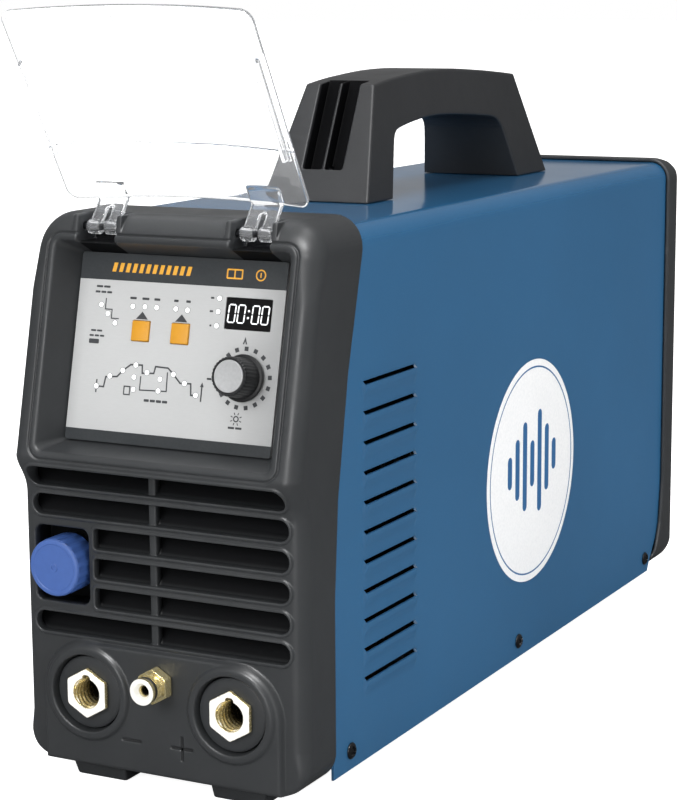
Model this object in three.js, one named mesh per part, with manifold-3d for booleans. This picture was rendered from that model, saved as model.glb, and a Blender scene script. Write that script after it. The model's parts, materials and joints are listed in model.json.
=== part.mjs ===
// Inverter TIG welding machine: a portable steel-cased power source with a moulded front and rear
// bezel, a carrying handle, a clear flip-up lid over a leaning control panel, two welding-cable
// sockets, a gas outlet, a capped control socket, and the electronics, fan and gas valve inside.
// Millimetres. +X is to the right seen from the front, +Y towards the back, +Z up.
// Everything is laid out with Y = 0 on the grille face; the group is then moved forward by ORIGIN_Y
// so that the origin sits under the middle of the whole object, on the plane of its feet.
import * as THREE from "three";
import { mergeVertices } from "three/addons/utils/BufferGeometryUtils.js";
import Module from "manifold-3d";

const wasm = await Module();
wasm.setup();

// ---------------------------------------------------------------- driving dimensions
// R is a radius and HALF a half width throughout.
const ORIGIN_Y = 262.2875; // grille face to the middle of the object's length
const GAP = 0.3; // clearance between neighbouring pieces
const SIDES = [-1, 1]; // left, right
const CORNER_UP = Math.PI / 2; // turn that puts a hexagon's corner at the top

const CASE_HALF = 75; // steel cover
const CASE_TOP = 267;
const CASE_BOTTOM = 8;
const CASE_REAR = 493;
const CASE_FILLET = 10; // outer radius of the folded top edges
const SHEET = 1.2; // sheet steel thickness
// The cover's front edge, which slides inside the front bezel's rear lip: y, z.
const CASE_FRONT_EDGE = [
  [24, 26], [24, 95], [27.7, 142.8], [38.5, 200], [53.3, 253.4], [57.5, CASE_TOP + 1],
];

const BEZEL_HALF = 77; // front bezel
const BEZEL_TOP = 271.5;
const BEZEL_BOTTOM = 8.5;
const BEZEL_WALL = 3;
const BEZEL_FLOOR = BEZEL_BOTTOM + BEZEL_WALL;
const BEZEL_TOP_R = 17;
const BEZEL_LOW_R = 14; // lower corners of both bezels

const LEAN = THREE.MathUtils.degToRad(12.94); // the control panel leans back by this angle
const RIM_Y = -7.1; // lower edge of the panel opening
const RIM_Z = 161.1;
const OPEN_HALF = 63.8; // panel opening
const OPEN_HEIGHT = 100.6; // measured up the leaning rim plane
const PANEL_DEPTH = 13; // rim plane to the face of the panel
const OVERLAY_HALF = 55.8;
const OVERLAY_LOW = 7.4;
const OVERLAY_HIGH = 96.7;
const OVERLAY_THICK = 1.6;
const OVERLAY_BACK = -PANEL_DEPTH - OVERLAY_THICK;

const SOCKET_X = 39.4; // welding-cable sockets
const SOCKET_Z = 44.7;
const PAD_FRONT = -3; // raised pad around the sockets
const RING_FRONT = -5; // raised ring around each socket

const GAS_Z = 54.5; // gas outlet
const CAP_X = -54.3; // control socket and its dust cap
const CAP_Z = 105.3;

const HINGE_Y = 24; // clear lid's hinge line
const HINGE_Z = 265;
const PIN_R = 1.5;
const CLIP_X = 41.5; // middle of each hinge clip

const REAR_FACE = 500; // outside of the rear bezel
const FAN_Z = 165;
const FAN_HOLE_R = 57; // in the rear bezel and the chassis wall
const SWITCH_Z = 68;
const CORD_X = 46;
const CORD_Z = 48;
const INLET_X = -46; // gas inlet
const INLET_Z = 48;

const HANDLE_SCREW_Y = { front: 173, rear: 378 };
const SIDE_SCREW_Y = [48.1, 252.2, 458];
const SIDE_SCREW_Z = 17.4;
const REAR_SCREWS = [[-65, 26], [65, 26], [-65, 250], [65, 250]]; // x, z
const SCREW_HOLE_R = 2.3;
const SCREW_HEAD_R = 4.1;
const SCREW_SHANK_R = 2;
const SCREW_HEAD_OUT = 2.5; // how far the heads stand out from the case

// ---------------------------------------------------------------- materials
const MATERIAL = {
  plastic: { color: 0x434547, roughness: 0.55, metalness: 0 },
  cover: { color: 0x35658f, roughness: 0.42, metalness: 0.1 },
  steel: { color: 0xb4b7ba, roughness: 0.4, metalness: 1 },
  black: { color: 0x1c1c1d, roughness: 0.5, metalness: 0 },
  blackSteel: { color: 0x232325, roughness: 0.4, metalness: 0.8 },
  clear: { color: 0xeaf2f5, roughness: 0.05, metalness: 0, transparent: true, opacity: 0.3 },
  silver: { color: 0xd5d5d5, roughness: 0.5, metalness: 0.1 },
  brass: { color: 0xc9a24d, roughness: 0.3, metalness: 1 },
  blue: { color: 0x4f6bb0, roughness: 0.5, metalness: 0 },
  orange: { color: 0xf9b233, roughness: 0.5, metalness: 0 },
  pcb: { color: 0x1d5a3a, roughness: 0.5, metalness: 0.1 },
  ferrite: { color: 0x2e2e30, roughness: 0.7, metalness: 0.1 },
  copper: { color: 0xb87333, roughness: 0.35, metalness: 1 },
  alu: { color: 0xc4c7c9, roughness: 0.4, metalness: 1 },
  white: { color: 0xe4e2dc, roughness: 0.5, metalness: 0 },
  rubber: { color: 0x18181a, roughness: 0.8, metalness: 0 },
};

// ---------------------------------------------------------------- solids from three.js geometry
function toSolid(geometry) {
  const bare = geometry.index ? geometry.toNonIndexed() : geometry.clone();
  for (const key of Object.keys(bare.attributes)) {
    if (key !== "position") bare.deleteAttribute(key);
  }
  const merged = mergeVertices(bare, 1e-4);
  return new wasm.Manifold(
    new wasm.Mesh({
      numProp: 3,
      vertProperties: new Float32Array(merged.attributes.position.array),
      triVerts: new Uint32Array(merged.index.array),
    }),
  );
}
const join = (...parts) => parts.flat().reduce((sum, part) => sum.add(part));
const cut = (body, ...tools) => tools.flat().reduce((rest, tool) => rest.subtract(tool), body);
const mirrorX = (part) => part.mirror([1, 0, 0]);
// A piece drawn on the right, moved to the given side.
const onSide = (side, part) => (side > 0 ? part : mirrorX(part));
const sideName = (side) => (side > 0 ? "right" : "left");

const vec = (x, y, z) => new THREE.Vector3(x, y, z);
const X_AXIS = vec(1, 0, 0);
const Y_AXIS = vec(0, 1, 0);
const Z_AXIS = vec(0, 0, 1);
const basis = (xDir, yDir, zDir, origin) =>
  new THREE.Matrix4().makeBasis(xDir, yDir, zDir).setPosition(origin);
const toShape = (points) => new THREE.Shape(points.map(([x, y]) => new THREE.Vector2(x, y)));

function box(x0, x1, y0, y1, z0, z1, matrix) {
  const geometry = new THREE.BoxGeometry(x1 - x0, y1 - y0, z1 - z0);
  geometry.translate((x0 + x1) / 2, (y0 + y1) / 2, (z0 + z1) / 2);
  if (matrix) geometry.applyMatrix4(matrix);
  return toSolid(geometry);
}
function prism(points, depth, matrix) {
  const geometry = new THREE.ExtrudeGeometry(toShape(points), {
    depth,
    bevelEnabled: false,
    steps: 1,
  });
  geometry.applyMatrix4(matrix);
  return toSolid(geometry);
}
// A side outline, points (y, z), swept from x0 to x1.
const alongX = (points, x0, x1) =>
  prism(points, x1 - x0, basis(Y_AXIS, Z_AXIS, X_AXIS, vec(x0, 0, 0)));
// A front outline, points (x, z), swept from y0 to y1.
const alongY = (points, y0, y1) =>
  prism(points, y1 - y0, basis(X_AXIS, Z_AXIS, vec(0, -1, 0), vec(0, y1, 0)));
// A plan outline, points (x, y), swept from z0 to z1.
const alongZ = (points, z0, z1) =>
  prism(points, z1 - z0, basis(X_AXIS, Y_AXIS, Z_AXIS, vec(0, 0, z0)));

// Rounded rectangle; radii is one radius, or four: lower left, lower right, upper right, upper left.
function roundRect(x0, x1, y0, y1, radii, segments = 4) {
  const [lowLeft, lowRight, topRight, topLeft] = Array.isArray(radii)
    ? radii
    : [radii, radii, radii, radii];
  const points = [];
  const corner = (x, y, radius, start) => {
    for (let i = 0; i <= segments; i++) {
      const angle = start + (i / segments) * (Math.PI / 2);
      points.push([x + radius * Math.cos(angle), y + radius * Math.sin(angle)]);
    }
  };
  corner(x0 + lowLeft, y0 + lowLeft, lowLeft, Math.PI);
  corner(x1 - lowRight, y0 + lowRight, lowRight, 1.5 * Math.PI);
  corner(x1 - topRight, y1 - topRight, topRight, 0);
  corner(x0 + topLeft, y1 - topLeft, topLeft, 0.5 * Math.PI);
  return points;
}
function ngon(x, y, radius, sides, turn = 0) {
  const points = [];
  for (let i = 0; i < sides; i++) {
    const angle = turn + (i / sides) * 2 * Math.PI;
    points.push([x + radius * Math.cos(angle), y + radius * Math.sin(angle)]);
  }
  return points;
}
const cylX = (y, z, radius, x0, x1, sides) => alongX(ngon(y, z, radius, sides), x0, x1);
const cylY = (x, z, radius, y0, y1, sides, turn) =>
  alongY(ngon(x, z, radius, sides, turn), y0, y1);
const cylZ = (x, y, radius, z0, z1, sides) => alongZ(ngon(x, y, radius, sides), z0, z1);
// Cylinders on one axis. Rows: radius, from, to, sides, and for cylY an optional turn.
const stack = (cylinder, centreA, centreB, rows) =>
  join(rows.map((row) => cylinder(centreA, centreB, ...row)));

// A turned piece about a line along Y: profile points (radius, y), axis to axis, front to back.
function turnedY(profile, x, z, sides) {
  const points = profile.map(([radius, y]) => new THREE.Vector2(radius, y));
  const geometry = new THREE.LatheGeometry(points, sides);
  geometry.translate(x, 0, z);
  return toSolid(geometry);
}
// A round cord along a smooth curve through the points.
function cord(points, radius, sides, steps) {
  const extrudePath = new THREE.CatmullRomCurve3(points.map((point) => vec(...point)));
  const section = toShape(ngon(0, 0, radius, sides));
  return toSolid(
    new THREE.ExtrudeGeometry(section, { steps, bevelEnabled: false, extrudePath }),
  );
}
// A convex body between two outlines with the same number of points, each a list of Vector3.
function loft(low, high) {
  const count = low.length;
  const positions = [];
  const triangle = (...corners) => corners.forEach((p) => positions.push(p.x, p.y, p.z));
  for (let i = 0; i < count; i++) {
    const j = (i + 1) % count;
    triangle(low[i], low[j], high[j]);
    triangle(low[i], high[j], high[i]);
  }
  for (let i = 1; i < count - 1; i++) {
    triangle(low[0], low[i + 1], low[i]);
    triangle(high[0], high[i], high[i + 1]);
  }
  const geometry = new THREE.BufferGeometry();
  geometry.setAttribute("position", new THREE.Float32BufferAttribute(positions, 3));
  return toSolid(geometry);
}

// The leaning panel's own frame: x across, "up" along the rim plane from the opening's lower edge,
// "out" of that plane towards the user.
const UP_AXIS = vec(0, Math.sin(LEAN), Math.cos(LEAN));
const OUT_AXIS = vec(0, -Math.cos(LEAN), Math.sin(LEAN));
const panelPoint = (x, up, out) =>
  vec(x, RIM_Y, RIM_Z).addScaledVector(UP_AXIS, up).addScaledVector(OUT_AXIS, out);
const onPanel = (points, out0, out1) =>
  prism(points, out1 - out0, basis(X_AXIS, UP_AXIS, OUT_AXIS, panelPoint(0, 0, out0)));
const panelBox = (x0, x1, up0, up1, out0, out1) =>
  onPanel([[x0, up0], [x1, up0], [x1, up1], [x0, up1]], out0, out1);
const panelSquare = (x, up, half, out0, out1) =>
  panelBox(x - half, x + half, up - half, up + half, out0, out1);
const panelCyl = (x, up, radius, out0, out1, sides) =>
  onPanel(ngon(x, up, radius, sides), out0, out1);
const panelRing = (x0, x1, up0, up1, radius, out) =>
  roundRect(x0, x1, up0, up1, radius).map(([x, up]) => panelPoint(x, up, out));

const group = new THREE.Group();
function add(name, part, material) {
  const mesh = part.getMesh();
  const indexed = new THREE.BufferGeometry();
  indexed.setAttribute("position", new THREE.BufferAttribute(mesh.vertProperties, 3));
  indexed.setIndex(new THREE.BufferAttribute(mesh.triVerts, 1));
  const geometry = indexed.toNonIndexed();
  geometry.computeVertexNormals();
  const object = new THREE.Mesh(geometry, new THREE.MeshStandardMaterial(material));
  object.name = name;
  group.add(object);
}

// ---------------------------------------------------------------- feet, moulded under both bezels
// A left and right pair, tapering down to the ground.
function feet(y0, y1, top) {
  const inside = 24.5;
  const outside = 54;
  const ring = (x0, x1, front, back, z) => [
    vec(x0, front, z),
    vec(x1, front, z),
    vec(x1, back, z),
    vec(x0, back, z),
  ];
  const foot = loft(
    ring(inside + 3, outside - 6, y0 + 3, y1 - 3, 0),
    ring(inside, outside, y0, y1, top),
  );
  return [foot, mirrorX(foot)];
}

// ---------------------------------------------------------------- front bezel
const RIM_TOP = panelPoint(0, OPEN_HEIGHT + 3.4, 0);
// Side outline of the bezel: y, z.
const BEZEL_OUTLINE = [
  [0, 10.5],
  // nose under the panel
  [0, 140], [-1.2, 144], [-3.5, 148.2], [-6, 152], [-7.6, 155.5], [-7.9, 158], [RIM_Y, RIM_Z],
  // rim and top
  [RIM_TOP.y, RIM_TOP.z], [18.6, 267], [23, 270.3], [30, BEZEL_TOP], [62, 271],
  // rear edge
  [63.5, 268], [59.3, 253.4], [44.5, 200], [33.7, 142.8], [30, 95], [30, BEZEL_BOTTOM],
  [1.5, BEZEL_BOTTOM],
];
const CAVITY_HALF = 73.8;
const CAVITY_TOP = 268.3;
// Side outline of the hollow inside: y, z.
const CAVITY_OUTLINE = [
  [BEZEL_WALL, BEZEL_FLOOR], [BEZEL_WALL, 140], [1.8, 144.6], [-0.6, 149.4], [-3, 153.8],
  [-4.6, 157.5], [-4, 160.4], [18.4, 257.9], [20.6, 264.5], [26, CAVITY_TOP], [80, CAVITY_TOP],
  [80, BEZEL_FLOOR],
];

function bezelOuter() {
  const radii = [BEZEL_LOW_R, BEZEL_LOW_R, BEZEL_TOP_R, BEZEL_TOP_R];
  const face = roundRect(-BEZEL_HALF, BEZEL_HALF, BEZEL_BOTTOM, BEZEL_TOP, radii, 5);
  return alongX(BEZEL_OUTLINE, -BEZEL_HALF, BEZEL_HALF).intersect(alongY(face, -20, 80));
}
function bezelCavity() {
  const radii = [11.5, 11.5, BEZEL_TOP_R, BEZEL_TOP_R];
  const face = roundRect(-CAVITY_HALF, CAVITY_HALF, BEZEL_FLOOR, CAVITY_TOP, radii);
  return alongX(CAVITY_OUTLINE, -CAVITY_HALF, CAVITY_HALF).intersect(alongY(face, -12, 82));
}
// Room inside the rear lip for the steel cover.
function lipCut() {
  const low = 23.6;
  const back = 90;
  const side = CASE_FRONT_EDGE.map(([y, z], i) => [y - 0.6, i ? z : low]);
  side.push([back, CASE_TOP + 1], [back, low]);
  const half = CASE_HALF + GAP;
  const radii = [1, 1, CASE_FILLET + GAP, CASE_FILLET + GAP];
  const face = roundRect(-half, half, 0, CASE_TOP + GAP, radii);
  return alongX(side, -80, 80).intersect(alongY(face, 10, back));
}

// Tub that holds the control panel, flaring out to the rim.
function panelTub(bigger, margin, radius, out) {
  const half = OVERLAY_HALF + bigger;
  return loft(
    panelRing(-half, half, OVERLAY_LOW - margin, OVERLAY_HIGH + margin, radius.floor, out.floor),
    panelRing(
      -OPEN_HALF - out.flare,
      OPEN_HALF + out.flare,
      -out.flare,
      OPEN_HEIGHT + out.flare,
      radius.rim,
      out.rim,
    ),
  );
}
const tubOuter = () =>
  panelTub(2.8, 3.6, { floor: 5, rim: 8 }, { floor: -17.6, rim: -0.6, flare: 3 });
const tubInner = () =>
  panelTub(
    GAP,
    GAP,
    { floor: 2, rim: 6.6 },
    { floor: OVERLAY_BACK - GAP, rim: 1.2, flare: 0.6 },
  );
// Bosses behind the tub, towards the control board: x, up.
const BOSSES = [[-51.5, 9.5], [51.5, 9.5], [-51.5, 94.5], [51.5, 94.5]];

// Cooling grille: full-width slots, three of them cut short beside the control socket.
const SLOT_ROWS = 6;
const SLOT_PITCH = 14.41;
const SLOT_TOP_CENTRE = 148.75;
const SLOT_HALF_HEIGHT = 4.95;
const SLOT_END = 69.4;
const SLOT_END_R = 4.8;
const SHORT_SLOT_END = -35.7;
const SHORT_SLOT_R = 1.5;
const BLADE_BACK = 4.1; // y of the rear lower edge of each slanted blade
const GRILLE_BAR = [-6, -2, 1.2, 5.6, 70, 155.5]; // upright bar set back behind the slats

function grille() {
  const slots = [];
  const blades = [];
  for (let row = 0; row < SLOT_ROWS; row++) {
    const z = SLOT_TOP_CENTRE - SLOT_PITCH * row;
    const z0 = z - SLOT_HALF_HEIGHT;
    const z1 = z + SLOT_HALF_HEIGHT;
    const short = row >= 2 && row <= 4;
    const left = short ? SHORT_SLOT_END : -SLOT_END;
    const leftR = short ? SHORT_SLOT_R : SLOT_END_R;
    const radii = [leftR, SLOT_END_R, SLOT_END_R, leftR];
    slots.push(alongY(roundRect(left, SLOT_END, z0, z1, radii, 3), -20, 6));
    // From behind the slat below, up and back to behind the slat above.
    const blade = [
      [2.4, z0 - 2.3], [BLADE_BACK, z0 - 2.3], [14.2, z1 + 1.2], [12.8, z1 + 2.2], [2.4, z0 - 0.4],
    ];
    blades.push(alongX(blade, short ? -37.2 : -72.5, 72.5));
  }
  return { slots, blades };
}

// Moulded-in minus and plus between the two sockets: x from, to, z from, to.
const POLARITY_MARKS = [
  [-20.9, -10.1, 23.7, 25],
  [6.3, 18.5, 23.7, 25],
  [11.8, 13.1, 18.3, 30.4],
];
const HINGE_NOTCH = [[5, 258.4], [28, 258.4], [33, 262], [33, 280], [5, 280]]; // y, z

function frontBezel() {
  const outer = bezelOuter();
  const { slots, blades } = grille();
  const ringR = 22;
  const pocket = (x0, x1, z0, z1, radius, y0, y1) =>
    alongY(roundRect(x0, x1, z0, z1, radius, 3), y0, y1);
  const bySocket = (...rows) => SIDES.map((side) => stack(cylY, side * SOCKET_X, SOCKET_Z, rows));
  const aroundClip = (half, make) =>
    SIDES.map((side) => make(side * CLIP_X - half, side * CLIP_X + half));
  const hingeBlocks = aroundClip(14.5, (x0, x1) =>
    box(x0, x1, 14, 35.5, 255, 272).intersect(outer),
  );

  let bezel = cut(outer, bezelCavity());
  bezel = join(
    bezel,
    tubOuter().intersect(outer),
    BOSSES.map(([x, up]) => panelCyl(x, up, 2.8, -22.7, -17, 8)),
    hingeBlocks,
  );
  // Inside of the tub, then the window through its floor.
  bezel = cut(bezel, tubInner(), panelBox(-50, 50, 12, 92.5, -30, 0), slots);
  bezel = join(
    bezel,
    box(...GRILLE_BAR),
    blades,
    alongY(roundRect(-65, 65, 10, 69, [8, 8, 24, 24], 5), PAD_FRONT, 1),
    bySocket([ringR, RING_FRONT, 1, 28]),
    bySocket([ringR, 1, 4.6, 24]),
    pocket(-71.3, -37.3, 84.8, 125.8, 4, 0, 15.5),
  );
  bezel = cut(
    bezel,
    // Pocket and hole for the control socket.
    pocket(-69.3, -39.3, 86.8, 123.8, 3, -2, 13),
    cylY(CAP_X, CAP_Z, 10.6, 10, 20, 20),
    // Well and hole for each welding socket, hole for the gas outlet.
    bySocket([18.5, -9, 1.5, 28]),
    bySocket([13, -1, 8, 20]),
    cylY(0, GAS_Z, 5.4, -10, 10, 14),
    POLARITY_MARKS.map(([x0, x1, z0, z1]) => box(x0, x1, -5, PAD_FRONT + 0.8, z0, z1)),
    aroundClip(10.5, (x0, x1) => alongX(HINGE_NOTCH, x0, x1)),
    aroundClip(13.3, (x0, x1) => cylX(HINGE_Y, HINGE_Z, PIN_R + GAP, x0, x1, 12)),
    lipCut(),
  );
  return join(bezel, feet(1.5, 29.5, 9.5));
}
add("front_bezel", frontBezel(), MATERIAL.plastic);

// ---------------------------------------------------------------- steel cover (top and both sides)
const LOUVRES = 11; // air slots on each side
const LOUVRE_TOP = 193.7;
const LOUVRE_PITCH = 14.42;
const LOUVRE_Y = [62.8, 118.8];
const LOUVRE_HEIGHT = 2.2;

function outerShell() {
  const section = (inset, bottom) => {
    const half = CASE_HALF - inset;
    const fillet = CASE_FILLET - inset;
    return roundRect(-half, half, bottom, CASE_TOP - inset, [0.01, 0.01, fillet, fillet]);
  };
  // Side outline: y, z.
  const side = [
    [30.4, CASE_BOTTOM], [30.4, 24],
    ...CASE_FRONT_EDGE,
    [CASE_REAR, CASE_TOP + 1], [CASE_REAR, 38], [482.5, 32], [468, 14.5], [464, CASE_BOTTOM],
  ];
  const louvres = [];
  for (let i = 0; i < LOUVRES; i++) {
    const z = LOUVRE_TOP - i * LOUVRE_PITCH;
    louvres.push(box(-90, 90, ...LOUVRE_Y, z - LOUVRE_HEIGHT, z));
  }
  return cut(
    alongX(side, -CASE_HALF - 1, CASE_HALF + 1).intersect(
      alongY(section(0, CASE_BOTTOM), 0, 500),
    ),
    alongY(section(SHEET, CASE_BOTTOM - 5), -5, 505),
    louvres,
    SIDE_SCREW_Y.map((y) => cylX(y, SIDE_SCREW_Z, SCREW_HOLE_R, -90, 90, 10)),
    Object.values(HANDLE_SCREW_Y).map((y) => cylZ(0, y, 2.6, 250, 280, 10)),
  );
}
add("outer_shell", outerShell(), MATERIAL.cover);

// ---------------------------------------------------------------- rear bezel
const REAR_HALF = 78;
const REAR_TOP = 270;
const REAR_INSIDE = REAR_FACE - 3;
// Side outlines of the outside and the hollow: y, z.
const REAR_OUTLINE = [
  [485, REAR_TOP], [485, 62], [481.5, 36], [473, 17], [467, BEZEL_BOTTOM], [486, BEZEL_BOTTOM],
  [495, 12], [REAR_FACE, 22], [REAR_FACE, 262], [497, 267.5], [491, REAR_TOP],
];
const REAR_CAVITY = [
  [440, BEZEL_FLOOR], [490.2, BEZEL_FLOOR], [494, 16], [REAR_INSIDE, 24],
  [REAR_INSIDE, CASE_TOP + 1], [440, CASE_TOP + 1],
];
// A hole through the rear bezel and the chassis wall.
const rearHole = (x, z, radius, sides) => cylY(x, z, radius, 480, 510, sides);

function rearBezel() {
  const outerFace = roundRect(
    -REAR_HALF,
    REAR_HALF,
    BEZEL_BOTTOM,
    REAR_TOP,
    [BEZEL_LOW_R, BEZEL_LOW_R, 14, 14],
    5,
  );
  const innerHalf = CASE_HALF + GAP;
  const innerFace = roundRect(
    -innerHalf,
    innerHalf,
    BEZEL_FLOOR,
    CASE_TOP + GAP,
    [11.3, 11.3, CASE_FILLET + GAP, CASE_FILLET + GAP],
  );
  const screwHole = ([x, z]) => rearHole(x, z, SCREW_HOLE_R, 10);
  const screwBoss = ([x, z]) =>
    cut(cylY(x, z, 4.6, 490.2, REAR_FACE - 2.5, 12), screwHole([x, z]));
  const shell = cut(
    alongX(REAR_OUTLINE, -REAR_HALF, REAR_HALF).intersect(alongY(outerFace, 400, 520)),
    alongX(REAR_CAVITY, -REAR_HALF, REAR_HALF).intersect(alongY(innerFace, 430, 505)),
    rearHole(0, FAN_Z, FAN_HOLE_R, 32),
    alongY(roundRect(-15, 15, SWITCH_Z - 12, SWITCH_Z + 12, 1, 2), 480, 510),
    rearHole(CORD_X, CORD_Z, 8.4, 16),
    rearHole(INLET_X, INLET_Z, 6.5, 14),
    REAR_SCREWS.map(screwHole),
  );
  return join(shell, REAR_SCREWS.map(screwBoss), feet(464, 491, 10));
}
add("rear_bezel", rearBezel(), MATERIAL.plastic);

// ---------------------------------------------------------------- chassis tray with its rear wall
const TRAY_Z = 12;
const WALL_BACK = 489.9;

function baseChassis() {
  const tray = [
    box(-73.2, 73.2, 34, 462, TRAY_Z, TRAY_Z + SHEET),
    box(-58, 58, 7, WALL_BACK, TRAY_Z, TRAY_Z + SHEET),
    box(-73.4, -72.2, 34, 461, TRAY_Z, 32),
    box(72.2, 73.4, 34, 461, TRAY_Z, 32),
  ];
  const wall = cut(
    alongY(roundRect(-71, 71, TRAY_Z, 262, [14, 14, 10, 10]), WALL_BACK - SHEET, WALL_BACK),
    rearHole(0, FAN_Z, FAN_HOLE_R, 28),
    box(-15.4, 15.4, 480, 510, SWITCH_Z - 12.4, SWITCH_Z + 12.4),
    rearHole(CORD_X, CORD_Z, 8.5, 14),
    rearHole(INLET_X, INLET_Z, 6.6, 14),
    REAR_SCREWS.map(([x, z]) => rearHole(x, z, SCREW_HOLE_R, 8)),
  );
  return cut(
    join(tray, wall),
    SIDE_SCREW_Y.map((y) => cylX(y, SIDE_SCREW_Z, SCREW_HOLE_R, -90, 90, 8)),
  );
}
add("base_chassis", baseChassis(), MATERIAL.steel);

// ---------------------------------------------------------------- carrying handle
const HANDLE_BASE = CASE_TOP + GAP;
// The sloping front face runs from its foot to its top corner, narrowing on the way: y, z, half.
const FACE_FOOT = { y: 156.2, z: 266, half: 31.3 };
const FACE_TOP = { y: 185.9, z: 326.1, half: 20.4 };
// Side outline: y, z.
const HANDLE_OUTLINE = [
  // front leg and top of the grip, front to back
  [156.8, HANDLE_BASE], [FACE_TOP.y, FACE_TOP.z], [216.5, 329.4], [246.7, 331.3],
  [280.7, 331.5], [320.9, 329.5], [369.6, 325.8], [396.3, HANDLE_BASE],
  // rear leg and underside of the grip, back to front
  [353, HANDLE_BASE], [340.2, 298.5], [332.5, 302.2], [297, 305.4], [270, 306.8],
  [248, 306.9], [225, 305], [205.5, 302.2], [200, 297.5], [186, HANDLE_BASE],
];
// Hollows in the legs, open underneath: y, z.
const LEG_HOLLOWS = [
  [[161, HANDLE_BASE - 1], [183, HANDLE_BASE - 1], [201, 305], [190, 313], [182, 305]],
  [[357, HANDLE_BASE - 1], [391, HANDLE_BASE - 1], [374, 312], [350, 318], [347, 300]],
];
// Two slots in the front face, split by a thin web that is set back:
// x from, to, distance up the face from, to, depth from, to.
const FACE_SLOTS = [
  [-11.3, -1.2, 19.5, 80, -3, 8.5],
  [1.2, 11.5, 19.5, 80, -3, 8.5],
  [-11.3, 11.5, 19.5, 80, -3, 4],
];
const FACE_BACKING = [-14, 14, 17, 64, 4.5, 12]; // block behind the slots, same columns

function handle() {
  const halfAt = (z) =>
    FACE_FOOT.half - ((z - FACE_FOOT.z) * (FACE_FOOT.half - FACE_TOP.half)) /
      (FACE_TOP.z - FACE_FOOT.z);
  const low = HANDLE_BASE - 0.1;
  const high = 331.7;
  const frontOutline = [
    [-halfAt(low), low], [halfAt(low), low], [halfAt(high), high], [-halfAt(high), high],
  ];
  const upFace = vec(0, FACE_TOP.y - FACE_FOOT.y, FACE_TOP.z - FACE_FOOT.z).normalize();
  const outOfFace = vec(0, -upFace.z, upFace.y);
  const faceFrame = basis(X_AXIS, upFace, outOfFace, vec(0, FACE_FOOT.y, FACE_FOOT.z));
  const faceBox = ([x0, x1, up0, up1, depth0, depth1]) =>
    box(x0, x1, up0, up1, -depth1, -depth0, faceFrame);

  const block = alongX(HANDLE_OUTLINE, -40, 40);
  const { front, rear } = HANDLE_SCREW_Y;
  const hollowed = cut(
    block.intersect(alongY(frontOutline, 140, 420)),
    LEG_HOLLOWS.map((hollow) => alongX(hollow, -19, 19)),
  );
  const filled = join(
    hollowed,
    faceBox(FACE_BACKING).intersect(block),
    cylZ(0, front, 6.5, HANDLE_BASE, 292, 10).intersect(block),
    cylZ(0, rear, 6.5, HANDLE_BASE, 300, 10).intersect(block),
  );
  return cut(
    filled,
    FACE_SLOTS.map(faceBox),
    cylZ(0, front, 2.4, HANDLE_BASE - 1, 284, 10),
    cylZ(0, rear, 2.4, HANDLE_BASE - 1, 290, 10),
  );
}
add("handle", handle(), MATERIAL.plastic);

// ---------------------------------------------------------------- screws
function handleScrew(y) {
  const z = CASE_TOP - SHEET - GAP;
  return stack(cylZ, 0, y, [
    [4, z - 2.2, z, 10],
    [SCREW_SHANK_R, z - 0.2, z + 16, 8],
  ]);
}
for (const [place, y] of Object.entries(HANDLE_SCREW_Y)) {
  add(`handle_screw_${place}`, handleScrew(y), MATERIAL.steel);
}

// Case screw standing out of the face at the given distance: shank tip, then head.
const caseScrewRows = (tip, face) => [
  [SCREW_HEAD_R, face + GAP, face + SCREW_HEAD_OUT, 12],
  [SCREW_SHANK_R, tip, face + 0.5, 8],
];
for (const side of SIDES) {
  SIDE_SCREW_Y.forEach((y, i) => {
    const screw = stack(cylX, y, SIDE_SCREW_Z, caseScrewRows(66, CASE_HALF));
    add(`side_screw_${sideName(side)}_${i + 1}`, onSide(side, screw), MATERIAL.blackSteel);
  });
}
REAR_SCREWS.forEach(([x, z], i) => {
  const screw = stack(cylY, x, z, caseScrewRows(484, REAR_FACE));
  add(`rear_screw_${i + 1}`, screw, MATERIAL.blackSteel);
});

// ---------------------------------------------------------------- clear lid over the panel
const LID_HALF = 65.3;
const LID_HEIGHT = 103.3;
const LID_TILT = THREE.MathUtils.degToRad(30.87); // forward lean of the open lid
const LID_EDGE = vec(0, 32.4, 277.4); // lower edge of the open lid
const LID_BOW = 5;
const LID_BOW_STEPS = 10;
const LID_THICK = 2;
const RIB_X = 61.5; // stiffening ribs just inside both long edges
const CLIP_HALF = 8;
const LID_UP = vec(0, -Math.sin(LID_TILT), Math.cos(LID_TILT));
const LID_BACK = vec(0, Math.cos(LID_TILT), Math.sin(LID_TILT));

function lidSheet() {
  const back = [];
  const front = [];
  for (let i = 0; i <= LID_BOW_STEPS; i++) {
    const x = -LID_HALF + (2 * LID_HALF * i) / LID_BOW_STEPS;
    const bow = LID_BOW * (1 - (x / LID_HALF) ** 2);
    front.push([x, bow - LID_THICK]);
    back.unshift([x, bow]);
  }
  const towardsFront = LID_BACK.clone().negate();
  const sheetFrame = basis(X_AXIS, LID_BACK, LID_UP, LID_EDGE);
  const trimFrame = basis(
    X_AXIS,
    LID_UP,
    towardsFront,
    LID_EDGE.clone().addScaledVector(LID_BACK, 20),
  );
  const ribFrame = basis(X_AXIS, LID_UP, towardsFront, LID_EDGE);
  const sheet = prism([...front, ...back], LID_HEIGHT, sheetFrame).intersect(
    prism(roundRect(-LID_HALF, LID_HALF, 0, LID_HEIGHT, 6, 3), 40, trimFrame),
  );
  const ribs = SIDES.map((side) =>
    box(side * RIB_X - 1, side * RIB_X + 1, 26, 80, LID_THICK - 1.6, 6.2, ribFrame),
  );
  return join(sheet, ribs);
}

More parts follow.
